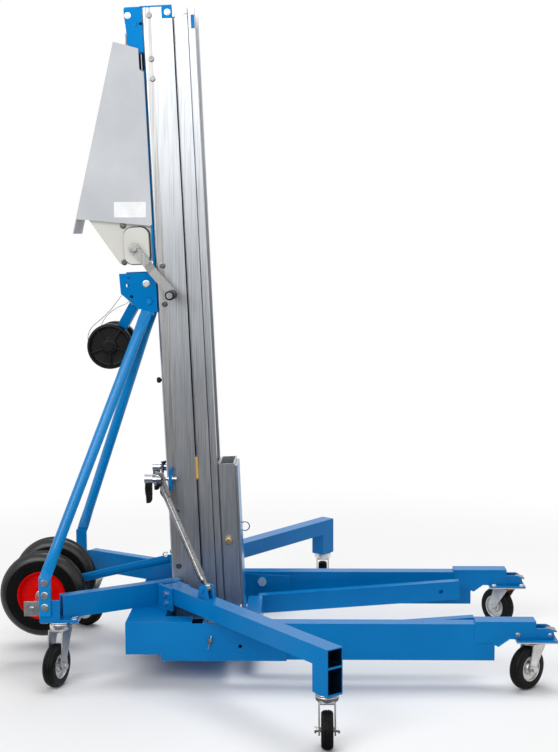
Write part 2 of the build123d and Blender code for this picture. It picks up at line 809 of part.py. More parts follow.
# Crank arm along its own x from the shaft, y outwards is up in its sketch
crank_end = crank_radius + crank_wide / 2
with BuildPart() as crank_arm:
    with BuildSketch(Plane.XZ):
        with BuildLine():
            Polyline((-crank_wide / 2, 0), (crank_first, 0), (crank_first + crank_slope, crank_step),
                     (crank_end, crank_step), (crank_end, crank_step + crank_thick),
                     (crank_first + crank_slope - crank_bend, crank_step + crank_thick),
                     (crank_first - crank_bend, crank_thick), (-crank_wide / 2, crank_thick), close=True)
        make_face()
    extrude(amount=crank_wide / 2, both=True)
    ends = crank_arm.edges().filter_by(Axis.Z)
    fillet(ends.group_by(Axis.X)[0] + ends.group_by(Axis.X)[-1], crank_wide / 2 - 0.2)
    with BuildSketch(Plane.XY.offset(-crank_boss_in)):
        Circle(crank_boss_r)
    extrude(amount=crank_boss_in + crank_thick + crank_boss_out)
    with BuildSketch(Plane.XY.offset(crank_step + crank_thick)):
        with Locations((crank_radius, 0)):
            Circle(spindle_r)
    extrude(amount=grip_long + 2 * grip_gap)
    with BuildSketch(Plane.XY.offset(crank_step + crank_thick + grip_long + 2 * grip_gap)):
        with Locations((crank_radius, 0)):
            Circle(spindle_head_r)
    extrude(amount=spindle_head)
crank_seat = Location((crank_x, -crank_inner_y, crank_z), (90, 0, 0))
crank_spot = crank_seat * Location((0, 0, 0), (0, 0, crank_angle))
with BuildPart() as crank:
    add(crank_shaft.part)
    add(crank_arm.part.moved(crank_spot))
save(crank.part.moved(mast), "crank")

with BuildPart() as crank_grip:
    with BuildSketch(Plane.XY.offset(crank_step + crank_thick + grip_gap)):
        with Locations((crank_radius, 0)):
            Circle(grip_r)
            Circle(spindle_r + shaft_clear, mode=Mode.SUBTRACT)
    extrude(amount=grip_long)
    fillet(crank_grip.edges().filter_by(GeomType.CIRCLE).group_by(SortBy.RADIUS)[-1], grip_round)
save(crank_grip.part.moved(mast * crank_spot), "crank_grip")

# Sheet cover over the winch: two sides, a sloping back and flanges on the blue plate
with BuildPart() as winch_cover:
    outline = [cover_top_rear, cover_low_rear, cover_low_mid, cover_low_front,
               (plate_rear, cover_low_front[1]), (plate_rear, cover_top_front_z)]
    for hand in (1, -1):
        low = min(hand * cover_half, hand * (cover_half - cover_sheet))
        slab(outline, low, low + cover_sheet)
        flange_low = min(hand * (cover_half - cover_flange), hand * cover_half)
        box(plate_rear - cover_sheet, plate_rear, flange_low, flange_low + cover_flange,
            winch_high + cover_sheet, back_plate_top)
        with BuildSketch(side(low + cover_sheet)):
            with Locations(Location((plate_rear, cover_notch_bottom + cover_notch_tall / 2), 90)):
                SlotOverall(cover_notch_tall, 2 * cover_notch_r)
        extrude(amount=cover_sheet, mode=Mode.SUBTRACT)
    back = Vector(cover_tab_low[0] - cover_top_rear[0], cover_tab_low[1] - cover_top_rear[1], 0).normalized()
    skin = Vector(-back.Y, back.X, 0) * cover_sheet
    slab([cover_top_rear, cover_tab_low, (cover_tab_low[0] + skin.X, cover_tab_low[1] + skin.Y),
          (cover_top_rear[0] + skin.X, cover_top_rear[1] + skin.Y)], -cover_half, cover_half)
save(winch_cover.part.moved(mast), "winch_cover")

# Head bracket: plates and pin for the sheave behind the mast, strips along its top and tabs in front
with BuildPart() as head_bracket:
    for hand in (1, -1):
        low = min(hand * head_inner, hand * (head_inner + head_plate))
        slab([*[(head_rear + out, head_bottom + up) for out, up in head_foot],
              (column_1_rear, head_bottom + head_foot_front), (column_1_rear, mast_top),
              (head_rear + head_corner[0], mast_top), (head_rear, mast_top - head_corner[1])],
             low, low + head_plate)
        low = min(hand * head_inner, hand * (column_1_half + head_plate))
        box(column_1_rear - head_plate, column_1_rear, low, low + column_1_half + head_plate - head_inner,
            head_strip_bottom, mast_top)
        low = min(hand * column_1_half, hand * (column_1_half + head_plate))
        box(column_1_rear, column_1_front, low, low + head_plate, head_strip_bottom, mast_top)
        box(head_tab_rear, column_1_front, low, low + head_plate, head_tab_bottom, mast_top)
    pin_reach = head_inner + head_plate
    rod(sheave_pin_r, sheave_x, sheave_z, -pin_reach, pin_reach)
    for hand in (1, -1):
        low = min(hand * pin_reach, hand * (pin_reach + small_tall))
        rod(small_hex / 2, sheave_x, sheave_z, low, low + small_tall)
save(head_bracket.part.moved(mast), "head_bracket")

# Sheave with a groove for the rope
with BuildPart() as head_sheave:
    floor_r = sheave_pitch_r - rope_r - rope_clear
    rim_r = sheave_pitch_r + sheave_rim
    lip = rope_r + rope_clear + sheave_lip
    with BuildSketch(Plane.XY):
        with BuildLine():
            Polyline((sheave_pin_r + shaft_clear, -sheave_half), (rim_r, -sheave_half), (rim_r, -lip),
                     (floor_r, -rope_r), (floor_r, rope_r), (rim_r, lip), (rim_r, sheave_half),
                     (sheave_pin_r + shaft_clear, sheave_half), close=True)
        make_face()
    revolve(axis=Axis.Y)
sheave_spot = Location((sheave_x, 0, sheave_z))
save(head_sheave.part.moved(mast * sheave_spot), "head_sheave")

# Hoist rope from the drum over the sheave down to the lug on column 2
drum_rope_r = drum_r + rope_r + rope_clear
apart = Vector(sheave_x - drum_x, sheave_z - drum_z, 0)
sink = (sheave_pitch_r - drum_rope_r) / apart.length
along = apart.normalized()
rear_of = Vector(-along.Y, along.X, 0) * math.sqrt(1 - sink * sink) - along * sink
rope_start = (drum_x + drum_rope_r * rear_of.X, drum_z + drum_rope_r * rear_of.Y)
rope_meets = (sheave_x + sheave_pitch_r * rear_of.X, sheave_z + sheave_pitch_r * rear_of.Y)
rope_x = sheave_x + sheave_pitch_r
with BuildPart() as hoist_rope:
    with BuildLine(Plane.XZ) as rope_path:
        Line(rope_start, rope_meets)
        ThreePointArc(rope_meets, (sheave_x, sheave_z + sheave_pitch_r), (rope_x, sheave_z))
        Line((rope_x, sheave_z), (rope_x, column_2_bottom + rope_lug_tall))
    with BuildSketch(Plane(origin=rope_path.line @ 0, z_dir=rope_path.line % 0)):
        Circle(rope_r)
    sweep(path=rope_path.line)
save(hoist_rope.part.moved(mast), "hoist_rope")

# Lugs on column 1 for the brace studs
with BuildPart() as stud_lugs:
    for hand in (1, -1):
        low = min(hand * column_1_half, hand * (column_1_half + lug_out))
        box(lug_rear, lug_rear + lug_plate, low, low + lug_out, stud_z - lug_half, stud_z + lug_half)
        with BuildSketch(Plane(origin=(lug_rear, hand * stud_y, stud_z), z_dir=(1, 0, 0))):
            Circle(stud_r + shaft_clear)
        extrude(amount=lug_plate, mode=Mode.SUBTRACT)
save(stud_lugs.part, "stud_lugs")

# Stud, and the knob with a lever that holds the head of a rod brace
with BuildPart() as knob:
    tube_between((knob_rear, stud_y, stud_z), (stud_front, stud_y, stud_z), stud_r)
    tube_between((knob_rear, stud_y, stud_z), (knob_front, stud_y, stud_z), knob_r)
    slab([(knob_rear + knob_lever_in, stud_z), (knob_front - knob_lever_in, stud_z),
          (knob_rear + knob_lever_tip[1], stud_z - knob_lever_drop),
          (knob_rear + knob_lever_tip[0], stud_z - knob_lever_drop)],
         stud_y - knob_lever / 2, stud_y + knob_lever / 2)
    for start in (lug_rear - stud_collar_gap - stud_collar, lug_rear + lug_plate + stud_collar_gap):
        tube_between((start, stud_y, stud_z), (start + stud_collar, stud_y, stud_z), stud_collar_r)
save_pair(knob.part, "brace_knob")

# Stabiliser beam with its hinge sleeve, clevis and open drop tube
with BuildPart() as stabiliser:
    box(beam_root, beam_tip, -beam_half, beam_half, beam_low, beam_top)
    box(beam_root, beam_tip, beam_wall - beam_half, beam_half - beam_wall,
        beam_low + beam_wall, beam_top - beam_wall, Mode.SUBTRACT)
    drop_start = beam_tip - drop_long
    box(drop_start, beam_tip, -beam_half, beam_half, drop_low, beam_low)
    box(drop_start + beam_wall, beam_tip, beam_wall - beam_half, beam_half - beam_wall,
        drop_low + 2 * beam_wall, beam_low - beam_wall, Mode.SUBTRACT)
    rod(hinge_sleeve_r, 0, 0, -beam_half, beam_half)
    rod(hinge_r + shaft_clear, 0, 0, -beam_half, beam_half, Mode.SUBTRACT)
    for hand in (1, -1):
        low = min(hand * clevis_half, hand * (clevis_half + clevis_plate))
        slab([(clevis_s - clevis_foot, beam_top), (clevis_s + clevis_foot, beam_top),
              (clevis_s + clevis_tip, clevis_z + clevis_tip),
              (clevis_s - clevis_tip, clevis_z + clevis_tip)], low, low + clevis_plate)
    clevis_outer = clevis_half + clevis_plate
    rod(clevis_pin_r, clevis_s, clevis_z, -clevis_outer, clevis_outer)
    for hand in (1, -1):
        low = min(hand * clevis_outer, hand * (clevis_outer + clevis_head))
        rod(clevis_head_r, clevis_s, clevis_z, low, low + clevis_head)
save(stabiliser.part.moved(beam[1]), "stabiliser_left")
save(stabiliser.part.moved(beam[-1]), "stabiliser_right")

# Brace: eye on the clevis pin, flattened end, tube and a head plate that hooks over the stud from above
brace_run = Vector(stud_s - clevis_s, 0, stud_up - clevis_z)
brace_dir = brace_run.normalized()
with BuildPart() as brace:
    eye_half = clevis_half - brace_eye_gap
    foot = Vector(clevis_s, 0, clevis_z)
    rod(brace_eye_r, clevis_s, clevis_z, -eye_half, eye_half)
    tube_end = foot + brace_dir * (brace_run.length - brace_tube_stop)
    tube_between(foot + brace_dir * brace_tube_start, tube_end, brace_tube_r)
    blade = Vector(-brace_dir.Z, 0, brace_dir.X) * brace_blade
    blade_end = foot + brace_dir * brace_blade_long
    slab([(foot.X + blade.X, foot.Z + blade.Z), (blade_end.X + blade.X, blade_end.Z + blade.Z),
          (blade_end.X - blade.X, blade_end.Z - blade.Z), (foot.X - blade.X, foot.Z - blade.Z)],
         brace_blade_thin - eye_half, eye_half - brace_blade_thin)
    low_mid = tube_end - brace_dir * brace_head_in
    slab([(low_mid.X + brace_head_in, low_mid.Z + brace_foot_rise),
          (stud_s + brace_head_reach, stud_up + brace_head_up),
          (stud_s - brace_head_reach, stud_up + brace_head_up),
          (stud_s - brace_head_reach, stud_up - brace_head_reach),
          (low_mid.X - brace_head_in, low_mid.Z - brace_foot_rise)],
         -brace_head_plate / 2, brace_head_plate / 2)
    slab([(stud_s - hook_half, stud_up + hook_up), (stud_s + hook_half, stud_up + hook_up),
          *[(stud_s + out, stud_up + up) for out, up in hook_mouth]],
         -brace_head_plate / 2, brace_head_plate / 2, Mode.SUBTRACT)
    rod(clevis_pin_r + shaft_clear, clevis_s, clevis_z, -eye_half, eye_half, Mode.SUBTRACT)
save(brace.part.moved(beam[1]), "brace_left")
save(brace.part.moved(beam[-1]), "brace_right")

# Cheeks along a beam: two plates with the hinge hole and a bridge behind its root
with BuildPart() as cheeks:
    rise_low = deck_top - hinge_z
    for hand in (1, -1):
        low = min(hand * cheek_inner, hand * cheek_outer)
        box(cheek_rear, cheek_front, low, low + cheek_plate, rise_low, beam_top)
        rod(hinge_r + shaft_clear, 0, 0, low, low + cheek_plate, Mode.SUBTRACT)
    box(cheek_rear - cheek_bridge, cheek_rear, -cheek_outer, cheek_outer, rise_low, beam_top)

# Base: box across the rear, housings for the legs, foot plate under the mast, cheeks for the stabilisers
with BuildPart() as base_frame:
    outer = housing_outer + housing_plate
    inner = housing_inner - housing_plate
    box(housing_rear, housing_step, -outer, outer, deck_low, deck_top)
    fillet(base_frame.edges().filter_by(Axis.Y).group_by(Axis.X)[0].sort_by(Axis.Z)[-1], deck_round)
    box(housing_rear, housing_rear + housing_plate, -outer, outer, housing_rear_low, deck_low)
    box(housing_step - housing_plate, housing_step, -outer, outer, housing_low, deck_low)
    box(housing_step, foot_front, -inner, inner, housing_low, mast_foot_z)
    for hand in (1, -1):
        low = min(hand * inner, hand * outer)
        box(housing_step, web_front, low, low + outer - inner, deck_low, deck_top)
        box(stop_rear, stop_front, low, low + outer - inner, deck_low, deck_top)
        low = min(hand * housing_outer, hand * outer)
        slab([(housing_rear, housing_rear_low), (housing_step, housing_rear_low),
              (housing_step, housing_low), (housing_front, housing_low), (housing_front, housing_front_top),
              (stop_front, deck_low), (housing_rear, deck_low)], low, low + housing_plate)
        rod(lock_r + shaft_clear, lock_x, lock_z, low, low + housing_plate, Mode.SUBTRACT)
        rod(spare_hole_r, spare_hole_x, spare_hole_z, low, low + housing_plate, Mode.SUBTRACT)
        rod(pivot_r + shaft_clear, pivot_x, pivot_z, low, low + housing_plate, Mode.SUBTRACT)
        low = min(hand * housing_inner, hand * inner)
        slab([(housing_step, housing_low), (housing_front, housing_low), (housing_front, housing_front_top),
              (stop_front, deck_low), (housing_step, deck_low)], low, low + housing_plate)
        rod(pivot_r + shaft_clear, pivot_x, pivot_z, low, low + housing_plate, Mode.SUBTRACT)
    for hand in (1, -1):
        add(cheeks.part.moved(beam[hand]))
save(base_frame.part, "base_frame")

# Rear arm: tube from the cheeks to the caster plate, with the upright plate for the strut
arm_run = Vector(arm_end[0] - arm_root[0], arm_end[1] - arm_root[1], 0)
bridge_point = Vector(hinge_x, hinge_y, 0) + beam_dir * (cheek_rear - cheek_bridge)
bridge_face = Plane(origin=bridge_point, z_dir=beam_dir)
arm_mid_z = (deck_top + arm_top) / 2
arm_plane = Plane(origin=(*arm_root, arm_mid_z), x_dir=(0, 0, 1), z_dir=arm_run)
with BuildPart() as rear_arm:
    with BuildSketch(arm_plane.offset(-arm_spare)):
        Rectangle(arm_top - deck_top, arm_wide)
        Rectangle(arm_top - deck_top - 2 * arm_wall, arm_wide - 2 * arm_wall, mode=Mode.SUBTRACT)
    extrude(amount=arm_run.length + arm_spare)
    split(bisect_by=bridge_face, keep=Keep.BOTTOM)
    box(*rear_plate, axle_plate_y + axle_plate, deck_top - rear_plate_thick, deck_top)
    tongue = (strut_x - strut_wide / 2, strut_x + strut_wide / 2)
    slab([(tongue[0], deck_top), (axle_plate_front, deck_top), (axle_plate_front, axle_plate_top),
          (tongue[1], axle_plate_top), (tongue[1], tongue_top), (tongue[0], tongue_top)],
         axle_plate_y, axle_plate_y + axle_plate)
save_pair(rear_arm.part, "rear_arm")

# Axle with a flat bar at each end that stands on the rear arm's plate
with BuildPart() as wheel_axle:
    bar_out = axle_bar_y + axle_bar_thick
    rod(axle_r, axle_x, axle_z, -bar_out, bar_out)
    for hand in (1, -1):
        low = min(hand * axle_bar_y, hand * bar_out)
        box(*axle_bar, low, low + axle_bar_thick, deck_top, axle_bar_top)
        hex_head(Plane(origin=(axle_x, hand * bar_out, axle_z), z_dir=(0, hand, 0)), small_hex, small_tall)
save(wheel_axle.part, "wheel_axle")

# Transport wheel: hub, dished disc and round tyre in one turned piece
with BuildPart() as transport_wheel:
    bore = axle_r + shaft_clear
    shoulder_r = wheel_r - tyre_shoulder
    outer_face = [(bore, -wheel_half), (wheel_boss_r, -wheel_half), (wheel_disc_r[0], wheel_disc_y[0]),
                  (wheel_disc_r[1], wheel_disc_y[1]), (wheel_hub_r - wheel_rim, -wheel_rim_half)]
    tyre = [(wheel_hub_r, -wheel_rim_half), (wheel_r - tyre_swell, -wheel_half),
            (shoulder_r, -tyre_shoulder_half), (wheel_r, -tyre_tread_half), (wheel_r, tyre_tread_half),
            (shoulder_r, tyre_shoulder_half), (wheel_r - tyre_swell, wheel_half),
            (wheel_hub_r, wheel_rim_half)]
    inner_face = [(wheel_hub_r - wheel_rim, wheel_rim_half), (wheel_disc_r[1], wheel_disc_y[1] + wheel_disc),
                  (wheel_disc_r[0], wheel_disc_y[0] + wheel_disc), (wheel_boss_r, wheel_half),
                  (bore, wheel_half)]
    with BuildSketch(Plane.XY):
        with BuildLine():
            Polyline(*outer_face, *tyre, *inner_face, close=True)
        make_face()
    revolve(axis=Axis.Y)
save(transport_wheel.part.moved(Location((axle_x, wheel_y, axle_z), (0, 0, 180))), "transport_wheel_left")
save(transport_wheel.part.moved(Location((axle_x, -wheel_y, axle_z))), "transport_wheel_right")

# Strut: flat foot on the upright plate, round tube, flat top inside the winch bracket
top_spot = mast * Location((strut_top_x, 0, strut_top_z))
strut_top_y = bracket_half - bracket_plate
with BuildPart() as strut:
    box(strut_x - strut_wide / 2, strut_x + strut_wide / 2, strut_y, strut_y + strut_flat,
        strut_bottom, strut_flat_top)
    top = top_spot.position
    low_point = (strut_x + strut_low_shift[0], strut_y + strut_flat / 2, strut_flat_top - strut_low_shift[1])
    high_point = (top.X - strut_high_shift[0], strut_top_y - strut_flat / 2 - strut_high_shift[1],
                  top.Z - strut_high_shift[2])
    tube_between(low_point, high_point, strut_r)
    slab([(top.X + out, top.Z + up) for out, up in strut_top_flat], strut_top_y - strut_flat, strut_top_y)
    # Nothing of the round end reaches into the bracket plate or the upright plate
    box(top.X - strut_trim, top.X + strut_trim, strut_top_y, strut_top_y + strut_trim,
        top.Z - strut_trim, top.Z + strut_trim, Mode.SUBTRACT)
    box(strut_x - strut_trim, strut_x + strut_trim, strut_y - strut_trim, strut_y,
        strut_bottom, tongue_top + joint_slack, Mode.SUBTRACT)
save_pair(strut.part, "mast_strut")

# Centre brace: eye on the axle, tube and a flange on the rear of the mast
flange_mid = mast * Location((column_1_rear - centre_flange, 0, sum(centre_flange_z) / 2))
with BuildPart() as brace_flange:
    box(column_1_rear - centre_flange, column_1_rear, -centre_flange_half, centre_flange_half,
        centre_flange_z[0], centre_flange_z[1])
with BuildPart() as centre_brace:
    add(brace_flange.part.moved(mast))
    rod(centre_eye_r, axle_x, axle_z, -centre_eye_half, centre_eye_half)
    flange_point = flange_mid.position
    tube_between((axle_x, 0, axle_z), (flange_point.X + joint_slack, 0, flange_point.Z), centre_r)
    rod(axle_r + shaft_clear, axle_x, axle_z, -centre_eye_half, centre_eye_half, Mode.SUBTRACT)
save(centre_brace.part, "centre_brace")

# Leg: tube with a cut tail, pivot sleeve, end bracket, caster plate and pedal lugs
leg_in, leg_out = leg_y - leg_wide / 2, leg_y + leg_wide / 2
plate_top = leg_plate_low + leg_plate
with BuildPart() as leg:
    slab([(leg_tail, leg_low + leg_tail_cut), (leg_tail + leg_tail_cut, leg_low), (leg_end, leg_low),
          (leg_end, leg_top), (leg_tail, leg_top)], leg_in, leg_out)
    inner_cut = leg_tail_cut + leg_tail_wall
    slab([(leg_tail, leg_low + inner_cut), (leg_tail + inner_cut, leg_low + leg_wall),
          (leg_end - leg_wall, leg_low + leg_wall), (leg_end - leg_wall, leg_top - leg_wall),
          (leg_tail, leg_top - leg_wall)], leg_in + leg_wall, leg_out - leg_wall, Mode.SUBTRACT)
    for low in (leg_in - end_plate, leg_out):
        slab([(end_rear, end_top), (end_front, end_top), (end_front, plate_top), *end_notch,
              (end_notch_x, end_notch_z), (end_notch_x, end_seam_z), (end_rear, end_seam_z)],
             low, low + end_plate)
    box(end_rear, end_front, leg_in, leg_out, leg_top, end_top)
    box(end_front - end_plate, end_front, leg_in, leg_out, plate_top, leg_top)
    box(leg_plate_rear, leg_plate_front, leg_y - leg_plate_half, leg_y + leg_plate_half,
        leg_plate_low, plate_top)
    box(leg_end, leg_plate_rear + end_lap, leg_in, leg_out, plate_top, plate_top + end_plate)
    rod(pivot_sleeve_r, pivot_x, pivot_z, leg_in, leg_out)
    rod(pivot_r + shaft_clear, pivot_x, pivot_z, leg_in, leg_out, Mode.SUBTRACT)
    # Slot for the lock pin, long enough for the pin to leave it as the leg turns
    lock_arc_r = math.hypot(lock_x - pivot_x, lock_z - pivot_z)
    lock_start = math.degrees(math.atan2(lock_z - pivot_z, lock_x - pivot_x))
    slot_mid = math.radians(lock_start - lock_slot_arc / 2)
    slot_spot = (pivot_x + lock_arc_r * math.cos(slot_mid), pivot_z + lock_arc_r * math.sin(slot_mid))
    slot_long = 2 * lock_arc_r * math.sin(math.radians(lock_slot_arc / 2))
    with BuildSketch(side(leg_out)):
        with Locations(Location(slot_spot, math.degrees(slot_mid) + 90)):
            SlotCenterToCenter(slot_long, 2 * (lock_r + lock_slot_clear))
    extrude(amount=leg_wall, mode=Mode.SUBTRACT)
    pedal_reach = pedal_half + pedal_gap + pedal_lug
    for low in (leg_y - pedal_reach, leg_y + pedal_half + pedal_gap):
        box(pedal_x - pedal_lug_half, pedal_x + pedal_lug_half, low, low + pedal_lug,
            plate_top, pedal_z + pedal_lug_half)
    rod(pedal_pin_r, pedal_x, pedal_z, leg_y - pedal_reach, leg_y + pedal_reach)
save_pair(leg.part, "leg")

with BuildPart() as pedal:
    rod(pedal_barrel_r, pedal_x, pedal_z, leg_y - pedal_half, leg_y + pedal_half)
    root_up, bend_up, tip_up = [pedal_z + rise for rise in pedal_rise]
    slab([(pedal_x, pedal_z), (pedal_x, root_up), (pedal_x + pedal_bend, bend_up), (leg_plate_front, tip_up),
          (leg_plate_front, tip_up - pedal_sheet[1]), (pedal_x + pedal_bend, bend_up - pedal_sheet[0])],
         leg_y - pedal_half, leg_y + pedal_half)
    rod(pedal_pin_r + shaft_clear, pedal_x, pedal_z, leg_y - pedal_half, leg_y + pedal_half, Mode.SUBTRACT)
save_pair(pedal.part, "leg_pedal")

# Lock pin of a leg: its nose stands in the slot of the leg's outer wall
with BuildPart() as lock_pin:
    pin_face = housing_outer + housing_plate
    rod(lock_r, lock_x, lock_z, leg_out - leg_wall + lock_nose_short, pin_face + lock_head / 2)
    rod(lock_head_r, lock_x, lock_z, pin_face + lock_head_gap, pin_face + lock_head)
    box(lock_x - lock_finger_wide / 2, lock_x + lock_finger_wide / 2, pin_face + lock_finger_edge,
        pin_face + lock_head - lock_finger_edge, lock_z - lock_finger, lock_z)
save_pair(lock_pin.part, "leg_lock_pin")

# Bolts and pins that stay with the base
with BuildPart() as left_bolts:
    for height in strut_bolts:
        hex_head(Plane(origin=(strut_x, strut_y + strut_flat, height), z_dir=(0, 1, 0)))
    cheek_face = beam_out * cheek_outer
    hinge_point = Vector(hinge_x, hinge_y, hinge_z)
    hex_head(Plane(origin=hinge_point + cheek_face, z_dir=beam_out))
    hex_head(Plane(origin=hinge_point - cheek_face, z_dir=-beam_out))
    tube_between(tuple(hinge_point - cheek_face), tuple(hinge_point + cheek_face), hinge_r)
    low_bolt = hinge_point + cheek_face + Vector(0, 0, beam_low)
    hex_head(Plane(origin=low_bolt, z_dir=beam_out), small_hex, small_tall)
    pin_out = housing_outer + housing_plate
    pin_in = housing_inner - housing_plate
    rod(pivot_r, pivot_x, pivot_z, pin_in - pivot_head[0], pin_out + pivot_end)
    rod(pivot_head[1], pivot_x, pivot_z, pin_in - pivot_head[0], pin_in)
with BuildPart() as mast_left_bolts:
    for height in groove_bolts:
        groove_spot = Plane(origin=(groove_bolt_x, column_1_half, height), z_dir=(0, 1, 0))
        hex_head(groove_spot, small_hex, small_tall)
    hex_head(Plane(origin=(strut_top_x, bracket_half, strut_top_z), z_dir=(0, 1, 0)))
    hex_head(Plane(origin=(swing_x, bracket_half, swing_z), z_dir=(0, 1, 0)))
    rod(swing_bolt_r, swing_x, swing_z, 0, bracket_half)
with BuildPart() as frame_bolts:
    add(left_bolts.part)
    add(mast_left_bolts.part.moved(mast))
    mirror(about=Plane.XZ)
save(frame_bolts.part, "frame_bolts")


def caster_parts(sizes):
    # Fork and wheel of a swivel caster hanging from its mounting face, the wheel trailing towards -x
    radius, width, height, trail, race = sizes
    axle_height = radius - height
    inner_y = width / 2 + caster_gap
    outer_y = inner_y + fork_plate
    nut_y = outer_y + brake_plate + 2 * brake_gap
    with BuildPart() as caster:
        with BuildSketch(Plane.XY):
            Circle(race_r)
        extrude(amount=-race)
        box(-crown_half, crown_half, -outer_y, outer_y, -race - crown, -race)
        for hand in (1, -1):
            low = min(hand * inner_y, hand * outer_y)
            slab([(crown_half, -race), (-crown_half, -race),
                  *[(out - trail, up + axle_height) for out, up in caster_eye]], low, low + fork_plate)
            low = min(hand * nut_y, hand * (nut_y + axle_nut))
            rod(axle_nut_r, -trail, axle_height, low, low + axle_nut)
        rod(caster_axle_r, -trail, axle_height, -nut_y, nut_y)
    with BuildPart() as wheel:
        half = width / 2
        bore = caster_axle_r + shaft_clear
        upper = [(bore, half), (caster_boss_r, half), (caster_dish_r, half - caster_dish),
                 (radius - caster_tyre[0], half - caster_dish), (radius - caster_tyre[1], half - caster_side),
                 (radius - caster_shoulder[0], half - caster_side),
                 (radius - caster_crowned, half - caster_shoulder[1])]
        with BuildSketch(Plane.XY):
            with BuildLine():
                lower = [(out, -across) for out, across in reversed(upper)]
                Polyline(*upper, (radius, 0), *lower, close=True)
            make_face()
        revolve(axis=Axis.Y)
    axle = Location((-trail, 0, axle_height))
    return caster.part, wheel.part.moved(axle)


def brake_lever(sizes, hand):
    # Lever on the axle outside a rear caster's fork, with its tread turned outwards
    radius, width, height, trail, race = sizes
    axle_height = radius - height
    inner_y = width / 2 + caster_gap + fork_plate + brake_gap
    low = min(hand * inner_y, hand * (inner_y + brake_plate))
    tread_low = min(hand * inner_y, hand * (inner_y + brake_tread_wide))
    with BuildPart() as lever:
        rod(brake_eye_r, -trail, axle_height, low, low + brake_plate)
        slab([(out - trail, up + axle_height) for out, up in brake_arm], low, low + brake_plate)
        slab([(out - trail, up + axle_height) for out, up in brake_tread], tread_low,
             tread_low + brake_tread_wide)
        rod(caster_axle_r + shaft_clear, -trail, axle_height, low, low + brake_plate, Mode.SUBTRACT)
    return lever.part


def turned(name, x, y, z):
    # Place of a caster with its wheel trailing along the stated angle
    return Location((x, y, z), (0, 0, caster_turn[name] - 180))


rear_mount_z = deck_top - rear_plate_thick
stab_spot = {hand: (beam[hand] * Location((drop_caster_s, 0, drop_low))).position for hand in (1, -1)}
caster_spots = {
    "leg_left": (leg_caster, turned("leg_left", leg_caster_x, leg_y, leg_plate_low)),
    "leg_right": (leg_caster, turned("leg_right", leg_caster_x, -leg_y, leg_plate_low)),
    "rear_left": (rear_caster, turned("rear_left", rear_caster_x, rear_caster_y, rear_mount_z)),
    "rear_right": (rear_caster, turned("rear_right", rear_caster_x, -rear_caster_y, rear_mount_z)),
    "stab_left": (stab_caster, turned("stab_left", stab_spot[1].X, stab_spot[1].Y, stab_spot[1].Z)),
    "stab_right": (stab_caster, turned("stab_right", stab_spot[-1].X, stab_spot[-1].Y, stab_spot[-1].Z)),
}
for name, (sizes, place) in caster_spots.items():
    fork_part, wheel_part = caster_parts(sizes)
    save(fork_part.moved(place), f"caster_fork_{name}")
    save(wheel_part.moved(place), f"caster_wheel_{name}")
    if name.startswith("rear"):
        save(brake_lever(sizes, brake_hand[name]).moved(place), f"rear_brake_{name[5:]}")
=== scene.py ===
import bpy
import json
import math
from mathutils import Matrix, Vector


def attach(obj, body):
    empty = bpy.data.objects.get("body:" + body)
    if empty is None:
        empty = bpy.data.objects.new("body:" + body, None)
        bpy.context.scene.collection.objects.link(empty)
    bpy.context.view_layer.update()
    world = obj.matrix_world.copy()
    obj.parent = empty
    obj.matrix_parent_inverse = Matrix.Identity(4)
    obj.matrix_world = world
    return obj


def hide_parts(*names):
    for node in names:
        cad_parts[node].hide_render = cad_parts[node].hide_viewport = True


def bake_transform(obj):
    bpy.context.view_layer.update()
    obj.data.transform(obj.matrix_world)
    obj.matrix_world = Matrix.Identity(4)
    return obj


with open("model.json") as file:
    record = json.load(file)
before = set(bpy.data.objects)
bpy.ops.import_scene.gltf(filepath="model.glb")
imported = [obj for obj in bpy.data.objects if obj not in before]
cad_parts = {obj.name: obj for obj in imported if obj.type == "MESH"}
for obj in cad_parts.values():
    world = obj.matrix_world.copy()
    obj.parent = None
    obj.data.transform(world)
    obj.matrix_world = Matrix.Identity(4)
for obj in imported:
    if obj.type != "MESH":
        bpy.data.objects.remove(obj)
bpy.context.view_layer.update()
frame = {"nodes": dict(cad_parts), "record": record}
cadNodes = frame["nodes"]
bodyOf = {node: body for body, members in frame["record"]["behaviour"]["bodies"].items() for node in members}
mm = 0.001
hands = {"left": 1, "right": -1}
print("frame loaded,", len(cadNodes), "nodes")

# leaning frame of the mast, and the frame along each stabiliser from its hinge bolt
layout = {"mastFoot": (-0.198, 0, 0), "mastLean": -2.36, "hinge": (-0.283, 0.172, 0.240), "beamTurn": 52.5}


def turned(degrees, axis):
    return Matrix.Rotation(math.radians(degrees), 4, axis)


def moved(x, y, z):
    # a shift in millimetres
    return Matrix.Translation((x * mm, y * mm, z * mm))


mastFrame = Matrix.Translation(layout["mastFoot"]) @ turned(layout["mastLean"], "Y")
beamFrame = {}
for side, hand in hands.items():
    hingeX, hingeY, hingeZ = layout["hinge"]
    hinge = Matrix.Translation((hingeX, hingeY * hand, hingeZ))
    beamFrame[side] = hinge @ turned(layout["beamTurn"] * hand, "Z")
acrossY = turned(-90, "X")  # lays a turned piece along y
acrossX = turned(90, "Y")   # lays a turned piece along x
level = Matrix.Identity(4)
flipped = Matrix.Scale(-1, 4, (0, 1, 0))  # from the left side to the right


def letGo():
    bpy.ops.object.select_all(action="DESELECT")


# camera, solved from the photograph
viewSet = {"place": (0.12712, -4.06841, 1.30816), "yaw": 1.45, "pitch": 6.16, "roll": -0.23, "lens": 64.24,
           "sensor": 36, "farClip": 200}


